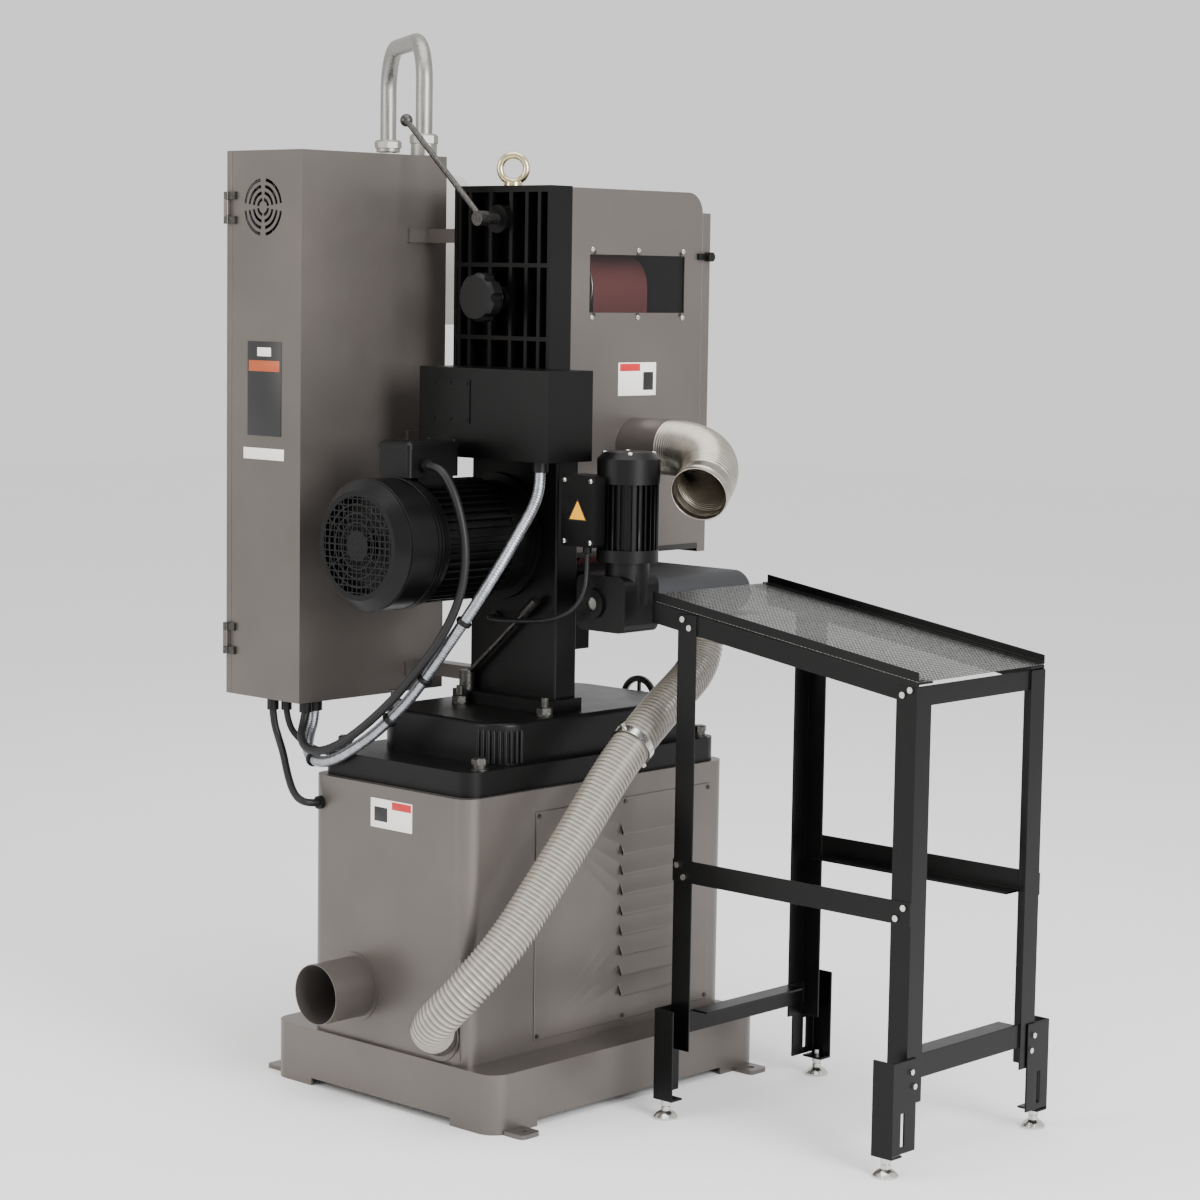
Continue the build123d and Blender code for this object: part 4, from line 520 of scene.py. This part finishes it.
union_nuts = [lathe((17, -262, 1747), (0, 0, 1), [(0, 17), (0, 27), (14, 27), (18, 23), (18, 16.2)], 8),
              lathe((-150, -540, 1750), (0, 0, 1), [(0, 17), (0, 27), (12, 27), (16, 23), (16, 16.2)], 8)]
join("pipe_union_nuts", union_nuts, drawn_steel, "base_frame")

pane_screws = []
for x in (-320, -194, -68):
    for z in (1426, 1551):
        pane_screws.append(lathe((x, 100, z), (0, 1, 0), [(0, 3), (0, 5), (2, 5), (3.4, 3.6), (3.4, 1.5), (2.4, 1.2),
                                                           (2.4, 0.1)], 16))
join("pane_screws", pane_screws, zinc_plate, "base_frame")

cover_ribs = []
for x in (296, 304, 312, 376):
    cover_ribs.append(lathe((x, -20, 1020), (1, 0, 0),
                            [(0, 117.5), (0.6, 119.6), (3.4, 119.6), (4, 117.5)], 72))
join("fan_cover_beads", cover_ribs, black_powder, "base_frame")

grille = []
for step in range(-7, 8):
    half = math.sqrt(max(88.0 ** 2 - (step * 12.0) ** 2, 0))
    grille.append(slab("bar", (402.2, -20 - half, 1019 + 12 * step), (403.2, -20 + half, 1021 + 12 * step), 0.3,
                       black_powder, None))
    grille.append(slab("bar", (402.2, -21 + 12 * step, 1020 - half), (403.2, -19 + 12 * step, 1020 + half), 0.3,
                       black_powder, None))
join("fan_cover_mesh", grille, black_powder, "base_frame")

cap_screws = []
for angle in (45, 135, 225, 315):
    a = math.radians(angle)
    cap_screws.append(lathe((15 + 44 * math.cos(a), 275 + 44 * math.sin(a), 1186), (0, 0, 1),
                            [(0, 3), (0, 5), (4, 5), (5, 4), (5, 2), (3, 2), (3, 0.1)], 12))
for y in (199, 263):
    for z in (1029, 1139):
        cap_screws.append(lathe((100, y, z), (1, 0, 0), [(0, 3), (0, 4.5), (2.5, 4.5), (3.4, 3), (3.4, 0.1)], 12))
join("gearmotor_cap_screws", cap_screws, zinc_plate, "conveyor")

# labels and plates: plain shapes only
slab("cabinet_plate_dark", (350.0, -380, 1199), (351.2, -286, 1373), 0.5, ink_film, "base_frame")
slab("cabinet_plate_band", (351.0, -376, 1318), (351.6, -290, 1338), 0.2, orange_film, "base_frame")
slab("cabinet_plate_pale", (351.0, -352, 1346), (351.6, -314, 1362), 0.2, label_film, "base_frame")
slab("cabinet_plate_strip", (350.0, -391, 1155), (351.0, -278, 1176), 0.4, label_film, "base_frame")
slab("stand_label", (350.0, -36, 508), (351.0, 72, 561), 0.4, label_film, "base_frame")
slab("stand_label_band", (350.8, 20, 545), (351.4, 70, 559), 0.2, red_film, "base_frame")
slab("stand_label_mark", (350.8, -26, 520), (351.4, 8, 546), 0.2, ink_film, "base_frame")
slab("housing_label", (-248, 100.0, 1280), (-143, 101.0, 1342), 0.4, label_film, "base_frame")
slab("housing_label_band", (-203, 100.8, 1326), (-147, 101.4, 1340), 0.2, red_film, "base_frame")
slab("housing_label_mark", (-240, 100.8, 1290), (-212, 101.4, 1324), 0.2, ink_film, "base_frame")
slab("housing_sill_seal", (-374, 100.0, 982), (-14, 103.0, 992), 0.8, contact_rubber, "base_frame")
join("warning_sign_back", [lathe((100.2, 231, 1080), (1, 0, 0), [(0, 0.1), (0, 27), (0.8, 27), (0.8, 0.1)], 3)],
     ink_film, "conveyor")
join("warning_sign_face", [lathe((101.0, 231, 1080), (1, 0, 0), [(0, 0.1), (0, 22), (0.5, 22), (0.5, 0.1)], 3)],
     yellow_film, "conveyor")


# ------------------------------------------------------------------ pleated duct elbow
def pleated_elbow():
    """Gored sheet elbow with close pleats, a plain collar and a band clamp at its mouth."""
    out = Vector((0.9, 0, -0.435)).normalized()
    start = Vector((-0.190, 0.195, 1.187))
    hub = start + out * 0.195
    spots, radii, turns = [], [], []
    bend = math.radians(70)
    steps = 190
    for i in range(steps + 1):
        angle = bend * i / steps
        spots.append(hub - out * (0.195 * math.cos(angle)) + Vector((0, 1, 0)) * (0.195 * math.sin(angle)))
        along = 0.195 * angle * 1000
        wave = (along / 7.5) % 1.0
        radii.append(0.0495 + 0.0027 * abs(2 * wave - 1))
        turns.append(along / 7.5)
    heading = Vector((0, 1, 0)) * math.cos(bend) + out * math.sin(bend)
    mouth = spots[-1].copy()
    for reach, radius in ((0.002, 0.0520), (0.018, 0.0520), (0.019, 0.0528), (0.022, 0.0528), (0.023, 0.0520),
                          (0.033, 0.0520), (0.034, 0.0526)):
        spots.append(mouth + heading * reach)
        radii.append(radius)
        turns.append(0.5)
    piece = wall_mesh("pleated_elbow", spots, radii, 64, turns)
    bpy.ops.object.select_all(action="DESELECT")
    piece.select_set(True)
    bpy.context.view_layer.objects.active = piece
    ends = [len(piece.data.polygons) - 2, len(piece.data.polygons) - 1]
    bpy.ops.object.mode_set(mode="EDIT")
    bpy.ops.mesh.select_all(action="DESELECT")
    bpy.ops.object.mode_set(mode="OBJECT")
    for index in ends:
        piece.data.polygons[index].select = True
    bpy.ops.object.mode_set(mode="EDIT")
    bpy.context.tool_settings.mesh_select_mode = (False, False, True)
    bpy.ops.mesh.delete(type="ONLY_FACE")
    bpy.ops.object.mode_set(mode="OBJECT")
    wall = piece.modifiers.new("wall", "SOLIDIFY")
    wall.thickness = 0.0012
    wall.offset = -1
    bpy.ops.object.modifier_apply(modifier="wall")
    dress(piece, galvanised)
    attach(piece, "base_frame")
    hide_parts("duct_elbow")


pleated_elbow()


# ------------------------------------------------------------------ perforated tray
def perforated_tray():
    """A sheet with close square holes, sloping from the feed belt down to the end of the table."""
    near, far, start, end = 12.5, -352.5, 300.0, 931.0
    slope = (948.0 - 856.0) / (931.0 - 300.0)
    pitch, web = 8.5, 2.1
    verts, faces, lookup = [], [], {}

    def corner(x, y, layer):
        key = (round(x, 3), round(y, 3), layer)
        if key not in lookup:
            lookup[key] = len(verts)
            verts.append((x / 1000, y / 1000, (948.0 - slope * (y - 300.0) - 16.0 - layer * 1.2) / 1000))
        return lookup[key]

    columns, rows = int((near - far) / pitch), int((end - start) / pitch)
    width, depth = (near - far) / columns, (end - start) / rows
    for i in range(columns):
        for j in range(rows):
            x, y = far + i * width, start + j * depth
            if x + width > -48 and y < 336:
                continue
            edge = [(x, y), (x + width, y), (x + width, y + depth), (x, y + depth)]
            inset = web / 2
            hole = [(x + inset, y + inset), (x + width - inset, y + inset),
                    (x + width - inset, y + depth - inset), (x + inset, y + depth - inset)]
            for k in range(4):
                n = (k + 1) % 4
                faces.append((corner(*edge[k], 0), corner(*edge[n], 0), corner(*hole[n], 0), corner(*hole[k], 0)))
                faces.append((corner(*edge[n], 1), corner(*edge[k], 1), corner(*hole[k], 1), corner(*hole[n], 1)))
                faces.append((corner(*hole[k], 0), corner(*hole[n], 0), corner(*hole[n], 1), corner(*hole[k], 1)))
    mesh = bpy.data.meshes.new("perforated_tray")
    mesh.from_pydata(verts, [], faces)
    piece = bpy.data.objects.new("perforated_tray", mesh)
    bpy.context.scene.collection.objects.link(piece)
    dress(piece, perforated)
    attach(piece, "outfeed_table")
    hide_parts("tray_mesh")


perforated_tray()

# ------------------------------------------------------------------ floor and light
bpy.ops.object.select_all(action="DESELECT")
bpy.ops.mesh.primitive_plane_add(size=30, location=(0, 0, 0))
floor = bpy.context.object
floor.name = "studio_floor"
dress(floor, coated("pale_studio_floor", "#fbfbfb", "#fdfdfd", 0.7, 40.0, 0.02))
bpy.ops.object.select_all(action="DESELECT")

world = bpy.data.worlds.new("studio_air")
bpy.context.scene.world = world
world.use_nodes = True
world.node_tree.nodes["Background"].inputs[0].default_value = (1.0, 1.0, 1.0, 1)
world.node_tree.nodes["Background"].inputs[1].default_value = 1.1


def soft_box(name, place, aim, size, power, tint=(1.0, 1.0, 1.0)):
    data = bpy.data.lights.new(name, "AREA")
    data.shape = "RECTANGLE"
    data.size, data.size_y = size
    data.energy = power
    data.color = tint
    lamp = bpy.data.objects.new(name, data)
    bpy.context.scene.collection.objects.link(lamp)
    lamp.location = place
    lamp.rotation_euler = (Vector(aim) - Vector(place)).to_track_quat("-Z", "Y").to_euler()


soft_box("left_bank", (4.5, -1.6, 2.4), (0, 0, 1.0), (2.4, 3.0), 110, (1.0, 0.965, 0.92))
soft_box("right_bank", (0.8, 5.2, 2.6), (0, 0, 0.9), (2.4, 3.0), 360, (0.97, 0.975, 1.0))
soft_box("top_bank", (0.4, 0.4, 4.6), (0, 0, 0.8), (3.5, 3.5), 120)
